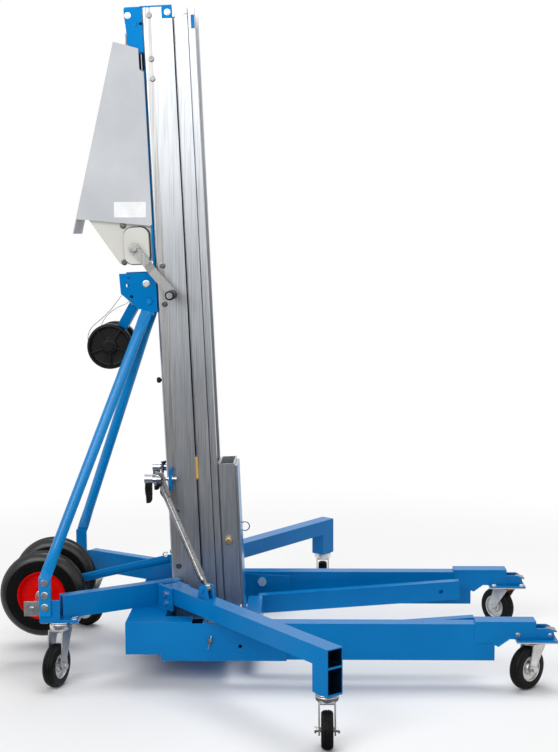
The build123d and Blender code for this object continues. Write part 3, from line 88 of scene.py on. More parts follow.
def setCamera():
    letGo()
    bpy.ops.object.camera_add(location=viewSet["place"])
    camera = bpy.context.object
    camera.name = "photoCamera"
    aim = turned(viewSet["yaw"], "Z") @ turned(90 - viewSet["pitch"], "X") @ turned(viewSet["roll"], "Z")
    camera.rotation_euler = aim.to_euler()
    camera.data.sensor_width = viewSet["sensor"]
    camera.data.lens = viewSet["lens"]
    camera.data.clip_end = viewSet["farClip"]
    bpy.context.scene.camera = camera


setCamera()
print("camera set")


# finishes: a cloudy colour, a fine grain for roughness and bump, and specks of a colour, scale and share
paintBase = {"stretch": (1, 1, 1), "metal": 0.0}
metalBase = {"stretch": (1, 1, 1), "metal": 1.0, "sheen": 0.5}
blueBase = {**paintBase, "slot": "blue_paint"}
tyreBase = {**paintBase, "slot": "tyre"}
zincBase = {**metalBase, "slot": "zinc"}
alloyBase = {**metalBase, "slot": "aluminium", "stretch": (90, 90, 1.2), "bump": 0.03}
finishSet = {
    "bluePaint": {**blueBase, "light": (0.0004, 0.186, 0.5), "dark": (0.0002, 0.16, 0.448), "cloud": 5,
        "grain": 520, "rough": (0.2, 0.3), "bump": 0.035, "sheen": 0.14,
        "speck": ((0.006, 0.175, 0.48), 260, 0.26)},
    # a little darker and less shiny copy of the blue paint for the parts on the mast; the darker colour is
    # painted shade
    "paintedShadeUpperBlue": {**blueBase, "light": (0.0003, 0.176, 0.478), "dark": (0.0002, 0.15, 0.43), "cloud": 7,
        "grain": 500, "rough": (0.24, 0.34), "bump": 0.03, "sheen": 0.03,
        "speck": ((0.004, 0.165, 0.45), 260, 0.26)},
    # a lighter copy of the blue paint for the head of the mast: painted light
    "paintedLightHeadBlue": {**blueBase, "light": (0.0003, 0.236, 0.63), "dark": (0.0002, 0.208, 0.57), "cloud": 9,
        "grain": 500, "rough": (0.24, 0.34), "bump": 0.03, "sheen": 0.03,
        "speck": ((0.006, 0.22, 0.58), 260, 0.26)},
    # a lighter, glossier copy of the blue paint for the struts; the gloss is the paint's own, the lighter
    # colour is painted light
    "paintedLightGlossBlue": {**blueBase, "light": (0.0004, 0.228, 0.58), "dark": (0.0002, 0.2, 0.52), "cloud": 6,
        "grain": 480, "rough": (0.1, 0.18), "bump": 0.02, "sheen": 0.35,
        "speck": ((0.006, 0.185, 0.49), 260, 0.26)},
    # near-black blue: painted shade inside bores, housings, notches, slots and holes
    "paintedShade": {**blueBase, "light": (0.001, 0.012, 0.03), "dark": (0.0006, 0.007, 0.018), "cloud": 12,
        "grain": 300, "rough": (0.6, 0.8), "bump": 0.05, "sheen": 0.02,
        "speck": ((0.004, 0.016, 0.03), 150, 0.28)},
    # lighter blue on rounded edges: partly worn paint, partly painted highlight
    "edgeWearAndHighlight": {**blueBase, "light": (0.03, 0.28, 0.61), "dark": (0.006, 0.2, 0.52), "cloud": 40,
        "grain": 420, "rough": (0.28, 0.42), "bump": 0.05, "sheen": 0.1,
        "speck": ((0.22, 0.36, 0.56), 150, 0.33)},
    "aluminium": {**alloyBase, "light": (0.52, 0.54, 0.565), "dark": (0.43, 0.45, 0.475), "cloud": 3,
        "grain": 9, "rough": (0.3, 0.42), "speck": ((0.37, 0.38, 0.4), 3.2, 0.42)},
    "darkerAluminium": {**alloyBase, "light": (0.45, 0.45, 0.445), "dark": (0.37, 0.37, 0.365), "cloud": 4,
        "grain": 12, "rough": (0.34, 0.46), "speck": ((0.28, 0.28, 0.28), 3, 0.4)},
    "zinc": {**zincBase, "light": (0.76, 0.77, 0.79), "dark": (0.58, 0.59, 0.6), "cloud": 45,
        "grain": 330, "rough": (0.22, 0.4), "bump": 0.05, "speck": ((0.55, 0.53, 0.46), 120, 0.32)},
    "yellowZinc": {**zincBase, "light": (0.7, 0.53, 0.24), "dark": (0.47, 0.33, 0.16), "cloud": 60,
        "grain": 350, "rough": (0.25, 0.42), "bump": 0.05, "speck": ((0.5, 0.3, 0.16), 140, 0.32)},
    "satinSteel": {**zincBase, "light": (0.72, 0.72, 0.71), "dark": (0.54, 0.54, 0.53), "cloud": 30,
        "grain": 260, "stretch": (1, 1, 3), "rough": (0.34, 0.5), "bump": 0.06,
        "speck": ((0.44, 0.43, 0.4), 110, 0.32)},
    # chrome made dark for rods, sleeves, pedals, washers and bolts: painted dark reflection
    "chromePaintedDarkReflection": {**zincBase, "light": (0.26, 0.262, 0.268), "dark": (0.16, 0.162, 0.166), "cloud": 25,
        "grain": 300, "rough": (0.16, 0.28), "bump": 0.03, "speck": ((0.06, 0.06, 0.06), 130, 0.31)},
    "chrome": {**zincBase, "light": (0.6, 0.61, 0.62), "dark": (0.46, 0.47, 0.48), "cloud": 25,
        "grain": 300, "rough": (0.1, 0.2), "bump": 0.03, "speck": ((0.24, 0.24, 0.24), 130, 0.31)},
    "raceOrange": {**zincBase, "light": (0.52, 0.17, 0.035), "dark": (0.34, 0.1, 0.02), "cloud": 50,
        "grain": 320, "rough": (0.36, 0.52), "bump": 0.06, "metal": 0.2, "sheen": 0.3,
        "speck": ((0.2, 0.07, 0.02), 140, 0.33)},
    "creamPaint": {**paintBase, "slot": "cream_paint", "light": (0.66, 0.655, 0.62),
        "dark": (0.58, 0.575, 0.54), "cloud": 9, "grain": 420, "rough": (0.22, 0.32), "bump": 0.03,
        "sheen": 0.2, "speck": ((0.58, 0.56, 0.5), 220, 0.26)},
    "silverSheet": {**paintBase, "slot": "silver_sheet", "light": (0.56, 0.575, 0.6),
        "dark": (0.455, 0.47, 0.495), "cloud": 4.5, "grain": 260, "stretch": (1, 1, 6),
        "rough": (0.4, 0.52), "bump": 0.03, "sheen": 0.2, "speck": ((0.38, 0.39, 0.41), 160, 0.27)},
    "whitePlate": {**paintBase, "slot": "cream_paint", "light": (0.86, 0.87, 0.88),
        "dark": (0.76, 0.77, 0.79), "cloud": 30, "grain": 300, "rough": (0.3, 0.4), "bump": 0.02,
        "sheen": 0.2, "speck": ((0.66, 0.67, 0.69), 200, 0.3)},
    "blackPlastic": {**paintBase, "slot": "black_plastic", "light": (0.012, 0.012, 0.013),
        "dark": (0.006, 0.006, 0.007), "cloud": 25, "grain": 600, "rough": (0.32, 0.46), "bump": 0.08,
        "sheen": 0.14, "speck": ((0.025, 0.025, 0.025), 240, 0.28)},
    "wheelRubber": {**paintBase, "slot": "black_rubber", "light": (0.01, 0.01, 0.01),
        "dark": (0.005, 0.005, 0.005), "cloud": 20, "grain": 380, "rough": (0.36, 0.52), "bump": 0.09,
        "sheen": 0.1, "speck": ((0.026, 0.025, 0.024), 190, 0.3)},
    "tyreRubber": {**tyreBase, "light": (0.006, 0.006, 0.006), "dark": (0.003, 0.003, 0.003), "cloud": 16,
        "grain": 320, "rough": (0.4, 0.56), "bump": 0.1, "sheen": 0.06,
        "speck": ((0.018, 0.017, 0.016), 150, 0.31)},
    "tyreSide": {**tyreBase, "light": (0.014, 0.014, 0.014), "dark": (0.009, 0.009, 0.009), "cloud": 22,
        "grain": 360, "rough": (0.24, 0.38), "bump": 0.06, "sheen": 0.42,
        "speck": ((0.03, 0.029, 0.028), 170, 0.3)},
    "redPaint": {**tyreBase, "light": (0.74, 0.005, 0.004), "dark": (0.6, 0.002, 0.002), "cloud": 14,
        "grain": 460, "rough": (0.26, 0.38), "bump": 0.04, "sheen": 0.05,
        "speck": ((0.4, 0.01, 0.01), 180, 0.28)},
    "yellowNylon": {**paintBase, "slot": "yellow_plastic", "light": (0.66, 0.4, 0.07),
        "dark": (0.52, 0.3, 0.05), "cloud": 40, "grain": 420, "rough": (0.38, 0.52), "bump": 0.05,
        "sheen": 0.25, "speck": ((0.4, 0.24, 0.06), 160, 0.3)},
    "wireStrand": {**metalBase, "slot": "wire_rope", "light": (0.46, 0.46, 0.47), "dark": (0.16, 0.16, 0.17),
        "cloud": 700, "grain": 900, "rough": (0.3, 0.5), "bump": 0.25,
        "speck": ((0.1, 0.1, 0.1), 500, 0.35)},
}
mixSet = {"cloudDetail": 4.0, "grainDetail": 3.0, "speckDetail": 2.0, "cloudBand": (0.32, 0.68),
          "grainBand": (0.3, 0.7), "speckFade": 0.08, "speckCover": 0.75, "bumpDepth": 0.001}
finishes = {}


def newMaterial(name):
    material = bpy.data.materials.new(name)
    material.use_nodes = True
    return material, material.node_tree.nodes, material.node_tree.links


def setSockets(shaderNode, values):
    for socket, value in values.items():
        shaderNode.inputs[socket].default_value = value


def makeFinish(name, look):
    finish, nodes, links = newMaterial(name)
    shader = nodes["Principled BSDF"]
    where = nodes.new("ShaderNodeTexCoord")
    stretch = nodes.new("ShaderNodeMapping")
    setSockets(stretch, {"Scale": look["stretch"]})
    links.new(where.outputs["Object"], stretch.inputs["Vector"])

    def noise(scale, detail, source):
        texture = nodes.new("ShaderNodeTexNoise")
        setSockets(texture, {"Scale": scale, "Detail": detail})
        links.new(source, texture.inputs["Vector"])
        return texture.outputs["Fac"]

    def spread(source, low, high, toLow, toHigh):
        band = nodes.new("ShaderNodeMapRange")
        setSockets(band, {"From Min": low, "From Max": high, "To Min": toLow, "To Max": toHigh})
        links.new(source, band.inputs["Value"])
        return band.outputs["Result"]

    def blend(share, first, second):
        mix = nodes.new("ShaderNodeMix")
        mix.data_type = "RGBA"
        links.new(share, mix.inputs["Factor"])
        for socket, colour in ((mix.inputs[6], first), (mix.inputs[7], second)):
            if isinstance(colour, tuple):
                socket.default_value = (*colour, 1)
            else:
                links.new(colour, socket)
        return mix.outputs[2]

    cloud = noise(look["cloud"], mixSet["cloudDetail"], where.outputs["Object"])
    grain = noise(look["grain"], mixSet["grainDetail"], stretch.outputs["Vector"])
    speckColour, speckScale, share = look["speck"]
    speck = noise(speckScale, mixSet["speckDetail"], stretch.outputs["Vector"])
    dusty = spread(speck, share, share + mixSet["speckFade"], mixSet["speckCover"], 0)
    colour = blend(spread(cloud, *mixSet["cloudBand"], 0, 1), look["dark"], look["light"])
    links.new(blend(dusty, colour, speckColour), shader.inputs["Base Color"])
    links.new(spread(grain, *mixSet["grainBand"], *look["rough"]), shader.inputs["Roughness"])
    bump = nodes.new("ShaderNodeBump")
    setSockets(bump, {"Strength": look["bump"], "Distance": mixSet["bumpDepth"]})
    links.new(grain, bump.inputs["Height"])
    links.new(bump.outputs["Normal"], shader.inputs["Normal"])
    setSockets(shader, {"Metallic": look["metal"], "Specular IOR Level": look["sheen"]})
    finishes[name] = finish


for finishName, finishLook in finishSet.items():
    makeFinish(finishName, finishLook)
print("finishes mixed,", len(finishes))


# handling of pieces: gaps in metres, angles in degrees
meshSet = {"ringGap": 0.000004, "weldGap": 0.00001, "flatAngle": 0.6, "edgeAngle": 38, "smoothAngle": 40}


def chooseAll():
    bpy.ops.mesh.select_all(action="SELECT")


def takeUp(piece, selectMode=None):
    # with a mode, opens the piece and chooses all of it
    letGo()
    piece.select_set(True)
    bpy.context.view_layer.objects.active = piece
    if selectMode:
        bpy.ops.object.mode_set(mode="EDIT")
        bpy.ops.mesh.select_mode(type=selectMode)
        chooseAll()


def putDown():
    bpy.ops.object.mode_set(mode="OBJECT")


def named(name):
    piece = bpy.context.object
    piece.name = name
    piece.data.name = name
    return piece


def chooseFaces(piece, test):
    bpy.ops.mesh.select_all(action="DESELECT")
    putDown()
    for face in piece.data.polygons:
        face.select = test(face.center, face.normal)
    bpy.ops.object.mode_set(mode="EDIT")


def settle(piece, place):
    piece.data.transform(place)
    if place.determinant() < 0:
        piece.data.flip_normals()
    piece.data.update()
    return piece


def anotherOf(piece, name, place):
    twin = bpy.data.objects.new(name, piece.data.copy())
    bpy.context.scene.collection.objects.link(twin)
    return settle(twin, place)


def joined(name, pieces):
    letGo()
    for piece in pieces:
        piece.select_set(True)
    bpy.context.view_layer.objects.active = pieces[0]
    bpy.ops.object.join()
    return named(name)


def roundEdges(piece, width, segments=2, limit=meshSet["edgeAngle"], edgeSlot=-1):
    takeUp(piece)
    if width:
        bevel = piece.modifiers.new("edgeRound", "BEVEL")
        bevel.width = width * mm
        bevel.segments = segments
        bevel.limit_method = "ANGLE"
        bevel.angle_limit = math.radians(limit)
        bevel.material = edgeSlot
        bpy.ops.object.modifier_apply(modifier=bevel.name)
    bpy.ops.object.shade_smooth_by_angle(angle=math.radians(meshSet["smoothAngle"]))
    flat = piece.modifiers.new("faceNormals", "WEIGHTED_NORMAL")
    flat.keep_sharp = True
    bpy.ops.object.modifier_apply(modifier=flat.name)
    return piece


def dress(piece, finish, body, replaced=()):
    if not piece.data.materials:
        piece.data.materials.append(finishes[finish])
    if replaced:
        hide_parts(*replaced)
    if body:
        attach(piece, body)
    return piece


def closeUp():
    # fills what is open, turns the normals outwards and leaves edit mode
    bpy.ops.mesh.fill_holes(sides=0)
    chooseAll()
    bpy.ops.mesh.normals_make_consistent(inside=False)
    putDown()


def dressPair(piece, finish, body, replaced=()):
    # a left piece and its mirror image, each on the body of its own side
    twin = anotherOf(piece, piece.name.replace("Left", "Right"), flipped)
    for half, side in ((twin, "right"), (piece, "left")):
        nodes = [node.replace("left", side) for node in replaced]
        dress(half, finish, body.replace("left", side), nodes)


def ringPiece(name, rings, sides):
    # rings about z through half widths in x and y and a height in millimetres, open ends get a cap
    letGo()
    bpy.ops.mesh.primitive_circle_add(vertices=sides, radius=mm)
    piece = named(name)
    takeUp(piece, "VERT")
    wide, deep, height = rings[0]
    bpy.ops.transform.resize(value=(wide, deep, 1), center_override=(0, 0, 0))
    bpy.ops.transform.translate(value=(0, 0, height * mm))
    for nextWide, nextDeep, nextHeight in rings[1:]:
        step = (0, 0, (nextHeight - height) * mm)
        bpy.ops.mesh.extrude_region_move(TRANSFORM_OT_translate={"value": step})
        bpy.ops.transform.resize(value=(nextWide / wide, nextDeep / deep, 1),
                                 center_override=(0, 0, nextHeight * mm))
        wide, deep, height = nextWide, nextDeep, nextHeight
    chooseAll()
    bpy.ops.mesh.remove_doubles(threshold=meshSet["ringGap"])
    closeUp()
    return piece


def turnedPiece(name, line, sides):
    return ringPiece(name, [(radius, radius, height) for radius, height in line], sides)


def smoothTurned(name, line, sides):
    return roundEdges(turnedPiece(name, line, sides), 0)


def mirroredLine(line):
    # outline of one side carried over to the other, closed at the start
    return line + [(radius, -height) for radius, height in reversed(line)] + line[:1]


def block(name, low, high, edge=0.0, segments=2):
    # block between two corners in millimetres with rounded edges
    letGo()
    bpy.ops.mesh.primitive_cube_add(size=1)
    piece = named(name)
    takeUp(piece, "EDGE")
    bpy.ops.transform.resize(value=[(b - a) * mm for a, b in zip(low, high)])
    bpy.ops.transform.translate(value=[(a + b) / 2 * mm for a, b in zip(low, high)])
    if edge:
        bpy.ops.mesh.bevel(offset=edge * mm, segments=segments, affect="EDGES")
    putDown()
    return piece


def softNode(node, finish, width, edgeFinish=None):
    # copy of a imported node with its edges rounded
    mesh = cadNodes[node].data.copy()
    piece = bpy.data.objects.new(node + "_soft", mesh)
    bpy.context.scene.collection.objects.link(piece)
    mesh.materials.clear()
    mesh.materials.append(finishes[finish])
    if edgeFinish:
        mesh.materials.append(finishes[edgeFinish])
    takeUp(piece, "VERT")
    bpy.ops.mesh.customdata_custom_splitnormals_clear()
    bpy.ops.mesh.remove_doubles(threshold=meshSet["weldGap"])
    bpy.ops.mesh.dissolve_limited(angle_limit=math.radians(meshSet["flatAngle"]))
    putDown()
    roundEdges(piece, width, edgeSlot=1 if edgeFinish else -1)
    body = None if node == ropeSet["node"] else bodyOf[node]  # the rope is on no body
    return dress(piece, finish, body, [node])


def chooseEdges(piece, test):
    bpy.ops.mesh.select_all(action="DESELECT")
    putDown()
    spots = piece.data.vertices
    for edge in piece.data.edges:
        edge.select = test(spots[edge.vertices[0]].co, spots[edge.vertices[1]].co)
    bpy.ops.object.mode_set(mode="EDIT")


def standOn(point, normal):
    # place of a piece that stands on a face at a point in millimetres
    turn = Vector(normal).to_track_quat("Z", "Y").to_matrix().to_4x4()
    return Matrix.Translation(Vector(point) * mm) @ turn


def paintFaces(piece, finish, test):
    slot = len(piece.data.materials)
    piece.data.materials.append(finishes[finish])
    for face in piece.data.polygons:
        if test(face.center):
            face.material_index = slot


# lanyard: a thin wire loop under the stop plate of the loading arm, in the mast frame
lanyardSet = {"radius": 0.001, "length": 0.4277, "route": [
    (-0.1955, -0.063, 1.13261), (-0.20794, -0.063, 1.11960), (-0.222, -0.060, 1.102),
    (-0.240, -0.052, 1.083), (-0.261, -0.045, 1.065), (-0.284, -0.039, 1.048), (-0.304, -0.033, 1.032),
    (-0.314, -0.031, 1.012), (-0.315, -0.031, 0.991), (-0.305, -0.031, 0.974), (-0.288, -0.031, 0.971),
    (-0.275, -0.030, 0.984), (-0.271, -0.030, 1.004), (-0.274, -0.031, 1.026), (-0.269, -0.031, 1.047),
    (-0.256, -0.031, 1.065), (-0.236, -0.031, 1.082), (-0.214, -0.031, 1.094),
    (-0.18894, -0.031, 1.10143), (-0.1765, -0.031, 1.11443)]}


def makeLanyard():
    line = bpy.data.curves.new("armLanyard", "CURVE")
    line.dimensions = "3D"
    line.bevel_depth = lanyardSet["radius"]
    line.bevel_resolution = 3
    line.resolution_u = 8
    line.use_fill_caps = True
    spline = line.splines.new("NURBS")
    route = [mastFrame @ Vector(point) for point in lanyardSet["route"]]
    spline.points.add(len(route) - 1)
    for knot, point in zip(spline.points, route):
        knot.co = (*point, 1)
    spline.order_u = 3
    spline.use_endpoint_u = True
    piece = bpy.data.objects.new("armLanyard", line)
    bpy.context.scene.collection.objects.link(piece)
    dress(piece, "wireStrand", "loading_arm", ["arm_lanyard"])


makeLanyard()
print("lanyard hung")


# the hoist rope node; the points of its inner run, from a height below the drum down to its foot, are listed
# but not used
ropeSet = {"node": "hoist_rope", "fixed": (-0.100, 0, 1.150), "drawn": (-0.100, 0, 0.200)}

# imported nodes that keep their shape, with rounded edges; a name that ends in _ stands for both sides
softSet = {
    "base_frame": ("bluePaint", 1.6), "rear_arm_": ("bluePaint", 1.4), "leg_": ("bluePaint", 1.6),
    "stabiliser_": ("bluePaint", 1.4), "fork_": ("bluePaint", 1.4), "fork_frame": ("bluePaint", 1.4),
    # the blue parts on the mast take the shaded copy of the blue (painted shade) and the head the lit copy
    # (painted light)
    "winch_bracket": ("paintedShadeUpperBlue", 1.2), "head_bracket": ("paintedLightHeadBlue", 0.9), "stud_lugs": ("paintedShadeUpperBlue", 1.2),
    "loading_arm": ("paintedShadeUpperBlue", 0.9), "centre_brace": ("paintedShadeUpperBlue", 1.2), "column_1": ("aluminium", 0.6),
    "column_2": ("aluminium", 0.6), "column_3": ("aluminium", 0.6), "carriage": ("aluminium", 0.8),
    "winch_cover": ("silverSheet", 0.5), "winch_frame": ("creamPaint", 0.8),
    "winch_gear_cover": ("creamPaint", 0.0), "winch_drum": ("satinSteel", 0.4),
    "head_sheave": ("satinSteel", 0.5), "crank": ("darkerAluminium", 0.9), "wheel_axle": ("zinc", 0.9),
    # brace rods, brace knobs and leg pedals in dark chrome: painted dark reflection
    "frame_bolts": ("zinc", 0.7), "brace_": ("chromePaintedDarkReflection", 0.7), "brace_knob_": ("zinc", 0.6),
    "leg_pedal_": ("chromePaintedDarkReflection", 0.9), "carriage_pin": ("yellowZinc", 0.6),
    "glide_pads": ("yellowNylon", 0.5), "rear_brake_": ("zinc", 0.8), "hoist_rope": ("wireStrand", 0.0),
}
softPieces = {}
for root, (finish, width) in softSet.items():
    # rounded edges of blue paint get a lighter blue: partly wear, partly painted highlight
    edgeFinish = "edgeWearAndHighlight" if finishSet[finish]["slot"] == blueBase["slot"] else None
    for node in [root + side for side in hands] if root.endswith("_") else [root]:
        softPieces[node] = softNode(node, finish, width, edgeFinish)
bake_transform(softPieces[ropeSet["node"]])
print("rounded nodes,", len(softPieces))

# parts of a rounded node that have a finish of their own, by where the middle of a face lies, in metres; the
# insides of bores and housings get painted shade, and the groove bolts a painted dark reflection
toneSet = {"forkMast": 0.1206, "knobTop": 0.5555, "boreLong": (0.04, 0.7634), "boreHalf": 0.0224,
           "boreTop": 0.0195, "boreFloor": -0.0262, "dropFrom": 0.704, "dropFloor": -0.1015,
           "axleEnds": 0.0765, "blueBolts": (1.090, 1.126), "blueBoltsBehind": -0.100,
           "grooveBolts": (-0.090, -0.060), "grooveBoltsAbove": 0.200, "upperPads": 1.85,
           "housingTop": 0.190, "housingWalls": (0.2715, 0.3185), "wallGap": 0.0006, "legRace": 0.124}
upright = mastFrame.inverted()


def inBore(spot):
    # inside of a stabiliser's beam or of its drop tube, in the frame of the beam, which gets painted shade
    floor = toneSet["dropFloor"] if spot.x > toneSet["dropFrom"] else toneSet["boreFloor"]
    first, last = toneSet["boreLong"]
    return (first < spot.x < last and abs(spot.y) < toneSet["boreHalf"]
            and floor < spot.z < toneSet["boreTop"])


def isBlueBolt(spot):
    low, high = toneSet["blueBolts"]
    return low < spot.z < high and spot.x < toneSet["blueBoltsBehind"]


def isGrooveBolt(spot):
    low, high = toneSet["grooveBolts"]
    return spot.z > toneSet["grooveBoltsAbove"] and low < spot.x < high


# the inside walls of the leg housings, which get painted shade
def inHousing(spot):
    gaps = [abs(abs(spot.y) - wall) for wall in toneSet["housingWalls"]]
    return spot.z < toneSet["housingTop"] and min(gaps) < toneSet["wallGap"]


# groove bolts in dark chrome are a painted dark reflection; the inside walls of the leg housings get painted
# shade
for node, finish, test in (
        ("fork_frame", "aluminium", lambda spot: (upright @ spot).x < toneSet["forkMast"]),
        ("loading_arm", "blackPlastic", lambda spot: abs(spot.y) > toneSet["axleEnds"]),
        ("frame_bolts", "bluePaint", lambda spot: isBlueBolt(upright @ spot)),
        ("frame_bolts", "chromePaintedDarkReflection", lambda spot: isGrooveBolt(upright @ spot)),
        ("glide_pads", "aluminium", lambda spot: spot.z > toneSet["upperPads"]),
        ("base_frame", "paintedShade", inHousing)):
    paintFaces(softPieces[node], finish, test)
for side in hands:
    # the lower part of each brace knob in dark chrome: painted dark reflection
    paintFaces(softPieces["brace_knob_" + side], "chromePaintedDarkReflection", lambda spot: spot.z < toneSet["knobTop"])
    alongBeam = beamFrame[side].inverted()
    # painted shade inside each stabiliser's beam and drop tube
    paintFaces(softPieces["stabiliser_" + side], "paintedShade", lambda spot: inBore(alongBeam @ spot))
print("two tone nodes painted")


# transport wheels: ribbed tyre, red pressed hub and bearing cap
wheelSet = {"axle": (-694.0, 94.0, 215.0), "sidewall": (0.106, 0.1288),
            "tyre": [(70, -24), (72, -28), (75, -31), (83, -33.4), (95, -34), (107, -32.6), (116, -29.4),
                     (123, -24), (127.4, -17.6), (129, -14.4), (126.6, -13.8), (126.6, -11.8),
                     (129.6, -11.2), (130, -5.6), (127.4, -5), (127.4, -3.2), (130, -2.6)],
            "hub": [(73.4, 31.4), (73.4, -31.4), (72, -32.6), (69.6, -31.4), (67.4, -27), (65, -18),
                    (60, -13), (52, -11.6), (40, -14.6), (30, -18.4), (25.4, -22), (24, -32.4), (22.4, -34),
                    (14, -34), (10.1, -33), (10.1, 33), (14, 34), (22.4, 34), (24, 32.4), (24, -6),
                    (30, -12.4), (40, -8.6), (52, -5.6), (60, -6.6), (65.6, 4), (67.4, 27), (69.6, 31.4),
                    (72, 32.6), (73.4, 31.4)],
            "cap": [(17, -33.6), (17, -35.2), (15.6, -36), (11.4, -36), (10.2, -35.4)]}


def makeTransportWheels():
    x, y, z = wheelSet["axle"]
    tyre = smoothTurned("tyreRight", mirroredLine(wheelSet["tyre"]), 72)
    hub = smoothTurned("hubRight", wheelSet["hub"], 64)
    cap = smoothTurned("bearingCapRight", wheelSet["cap"], 32)
    tyre.data.materials.append(finishes["tyreRubber"])
    inner, outer = wheelSet["sidewall"]
    paintFaces(tyre, "tyreSide", lambda spot: inner < spot.xy.length < outer)
    right = moved(x, -y, z) @ acrossY
    left = moved(x, y, z) @ turned(180, "Z") @ acrossY
    for piece, finish in ((tyre, "tyreRubber"), (hub, "redPaint"), (cap, "zinc")):
        twin = anotherOf(piece, piece.name.replace("Right", "Left"), left)
        settle(piece, right)
        dress(piece, finish, "transport_wheel_right", ["transport_wheel_right"])
        dress(twin, finish, "transport_wheel_left", ["transport_wheel_left"])


# fasteners that are copied about
def makeBolt(name, across, tall, washer):
    corner = across / math.sqrt(3)
    headLine = [(corner * 0.98, 0), (corner, 0.4), (corner, tall * 0.78), (corner * 0.88, tall)]
    ringLine = [(washer, 0), (washer, 1.1), (washer - 0.6, 1.7), (across * 0.45, 1.7)]
    head = turnedPiece(name, headLine, 6)
    ring = turnedPiece(name + "Washer", ringLine, 28)
    return roundEdges(joined(name, [head, ring]), 0.25, 1)


def makeWasher(name, bore, radius, shoulder, thick, sides):
    line = [(bore, 0.1), (radius - 0.4, 0.1), (radius, 0.5), (radius, shoulder),
            (radius - 0.6, thick), (bore, thick)]
    return smoothTurned(name, line, sides)


smallBolt = makeBolt("smallBolt", 13, 6.0, 9.6)
nutMaster = makeBolt("nutMaster", 17, 8.0, 13.0)
washer = makeWasher("washer", 7, 11, 1.5, 2.0, 28)
thinWasher = makeWasher("thinWasher", 6, 9.2, 1.2, 1.6, 24)
makeTransportWheels()
print("transport wheels turned")


# loading wheels: moulded black wheel with ribs between hub and rim
loadingSet = {"axle": (-244.0, 57.0, 977.0), "ribs": 5, "ribStart": 18, "ribEdge": 1.2,
              "ribLong": (19, 60), "ribHalf": 3.2, "ribDeep": (6, 15.6),
              "wheel": [(8.1, -18.6), (10, -19), (19.4, -19), (21.4, -17.6), (23.4, -9), (27, -8), (52, -8),
                        (56.6, -9.4), (59, -17.4), (60.4, -19), (63.4, -19), (66, -17.6), (67.6, -14.6),
                        (68, -11), (68, -2.4), (66.6, -1.6)]}


def makeLoadingWheels():
    x, y, z = loadingSet["axle"]
    bits = [turnedPiece("loadingWheel", mirroredLine(loadingSet["wheel"]), 64)]
    inner, outer = loadingSet["ribLong"]
    half = loadingSet["ribHalf"]
    for face in (1, -1):
        low, high = sorted(face * depth for depth in loadingSet["ribDeep"])
        for rib in range(loadingSet["ribs"]):
            piece = block("rib", (inner, -half, low), (outer, half, high), loadingSet["ribEdge"])
            angle = loadingSet["ribStart"] + 360 / loadingSet["ribs"] * rib
            bits.append(settle(piece, turned(angle, "Z")))
    wheel = roundEdges(joined("loadingWheelRight", bits), 0.5, 1, 50)
    twin = anotherOf(wheel, "loadingWheelLeft", mastFrame @ moved(x, y, z) @ acrossY)
    settle(wheel, mastFrame @ moved(x, -y, z) @ acrossY)
    dress(wheel, "blackPlastic", "loading_wheel_right", ["loading_wheel_right"])
    dress(twin, "blackPlastic", "loading_wheel_left", ["loading_wheel_left"])


makeLoadingWheels()
print("loading wheels turned")


# casters: wheel radius, width, mounting height, trail, race height, then where each one stands and trails
casterSet = {
    "leg": {"sizes": (62.5, 36.0, 138.0, 32.0, 5.0), "race": "raceOrange",
            "spots": {"left": (763, 295, 138, 130), "right": (763, -295, 138, -138)}},
    "rear": {"sizes": (62.5, 36.0, 186.0, 28.0, 22.0), "race": "zinc",
             "spots": {"left": (-607, 288, 186, 160), "right": (-607, -288, 186, -107)}},
    "stab": {"sizes": (50.0, 33.0, 138.0, 25.0, 18.0), "race": "zinc", "spots": {}},
}
casterFit = {"tip": (0.732, 0, -0.102), "tipTurn": 90, "tyreGap": 0.05, "leastRim": 31.0, "rimShare": 0.6,
             "wheelGap": 2, "forkWall": 4, "tallRace": 8}
for side, hand in hands.items():
    tip = beamFrame[side] @ Vector(casterFit["tip"])
    casterSet["stab"]["spots"][side] = (tip.x / mm, tip.y / mm, tip.z / mm, casterFit["tipTurn"] * hand)


def rimOf(radius):
    return max(casterFit["leastRim"], radius * casterFit["rimShare"])


def fromSide(line, width):
    # outline with its depths measured from the side of the wheel
    return [(radius, depth - width / 2) for radius, depth in line]


def casterTyre(name, radius, width):
    radius -= casterFit["tyreGap"]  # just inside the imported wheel
    rim = rimOf(radius)
    line = fromSide([(rim - 2, 4), (rim - 0.4, 2), (rim + 2, 1), (radius - 8, 1), (radius - 4.6, 2.6),
                     (radius - 2.2, 6), (radius - 0.9, 10), (radius - 2.0, 10.8), (radius - 2.0, 11.6),
                     (radius - 0.2, 12.4)], width) + [(radius, -2.6), (radius - 1.4, -1.8)]
    return smoothTurned(name, mirroredLine(line), 56)


def casterHub(name, radius, width):
    rim = rimOf(radius)
    line = fromSide([(rim, 3), (rim - 0.6, 1), (rim - 2.4, 0.6), (rim - 3.6, 2), (rim - 5.4, 8),
                     (rim - 8, 9.4), (20, 9.4), (18.6, 6), (17, 2.4), (15.4, 1), (13, 0.4), (8.6, 0.4),
                     (8, 1.6), (6.3, 1.6)], width)
    return smoothTurned(name, mirroredLine(line), 48)


def casterRace(name, race):
    # swivel race: a plain ring, or two pressed rings with a groove of grease between them
    if race > casterFit["tallRace"]:
        line = [(22, 0.1), (30, 0.1), (30.6, -0.8), (30.6, -2.2), (29, -3), (27.6, -3.4), (27.6, -4.2),
                (29.4, -5), (30.4, -7), (30, -race + 3), (28.4, -race), (20, -race)]
    else:
        line = [(22, 0.1), (34, 0.1), (35, -1), (35, -race + 1), (34, -race), (20, -race)]
    return smoothTurned(name, line, 40)


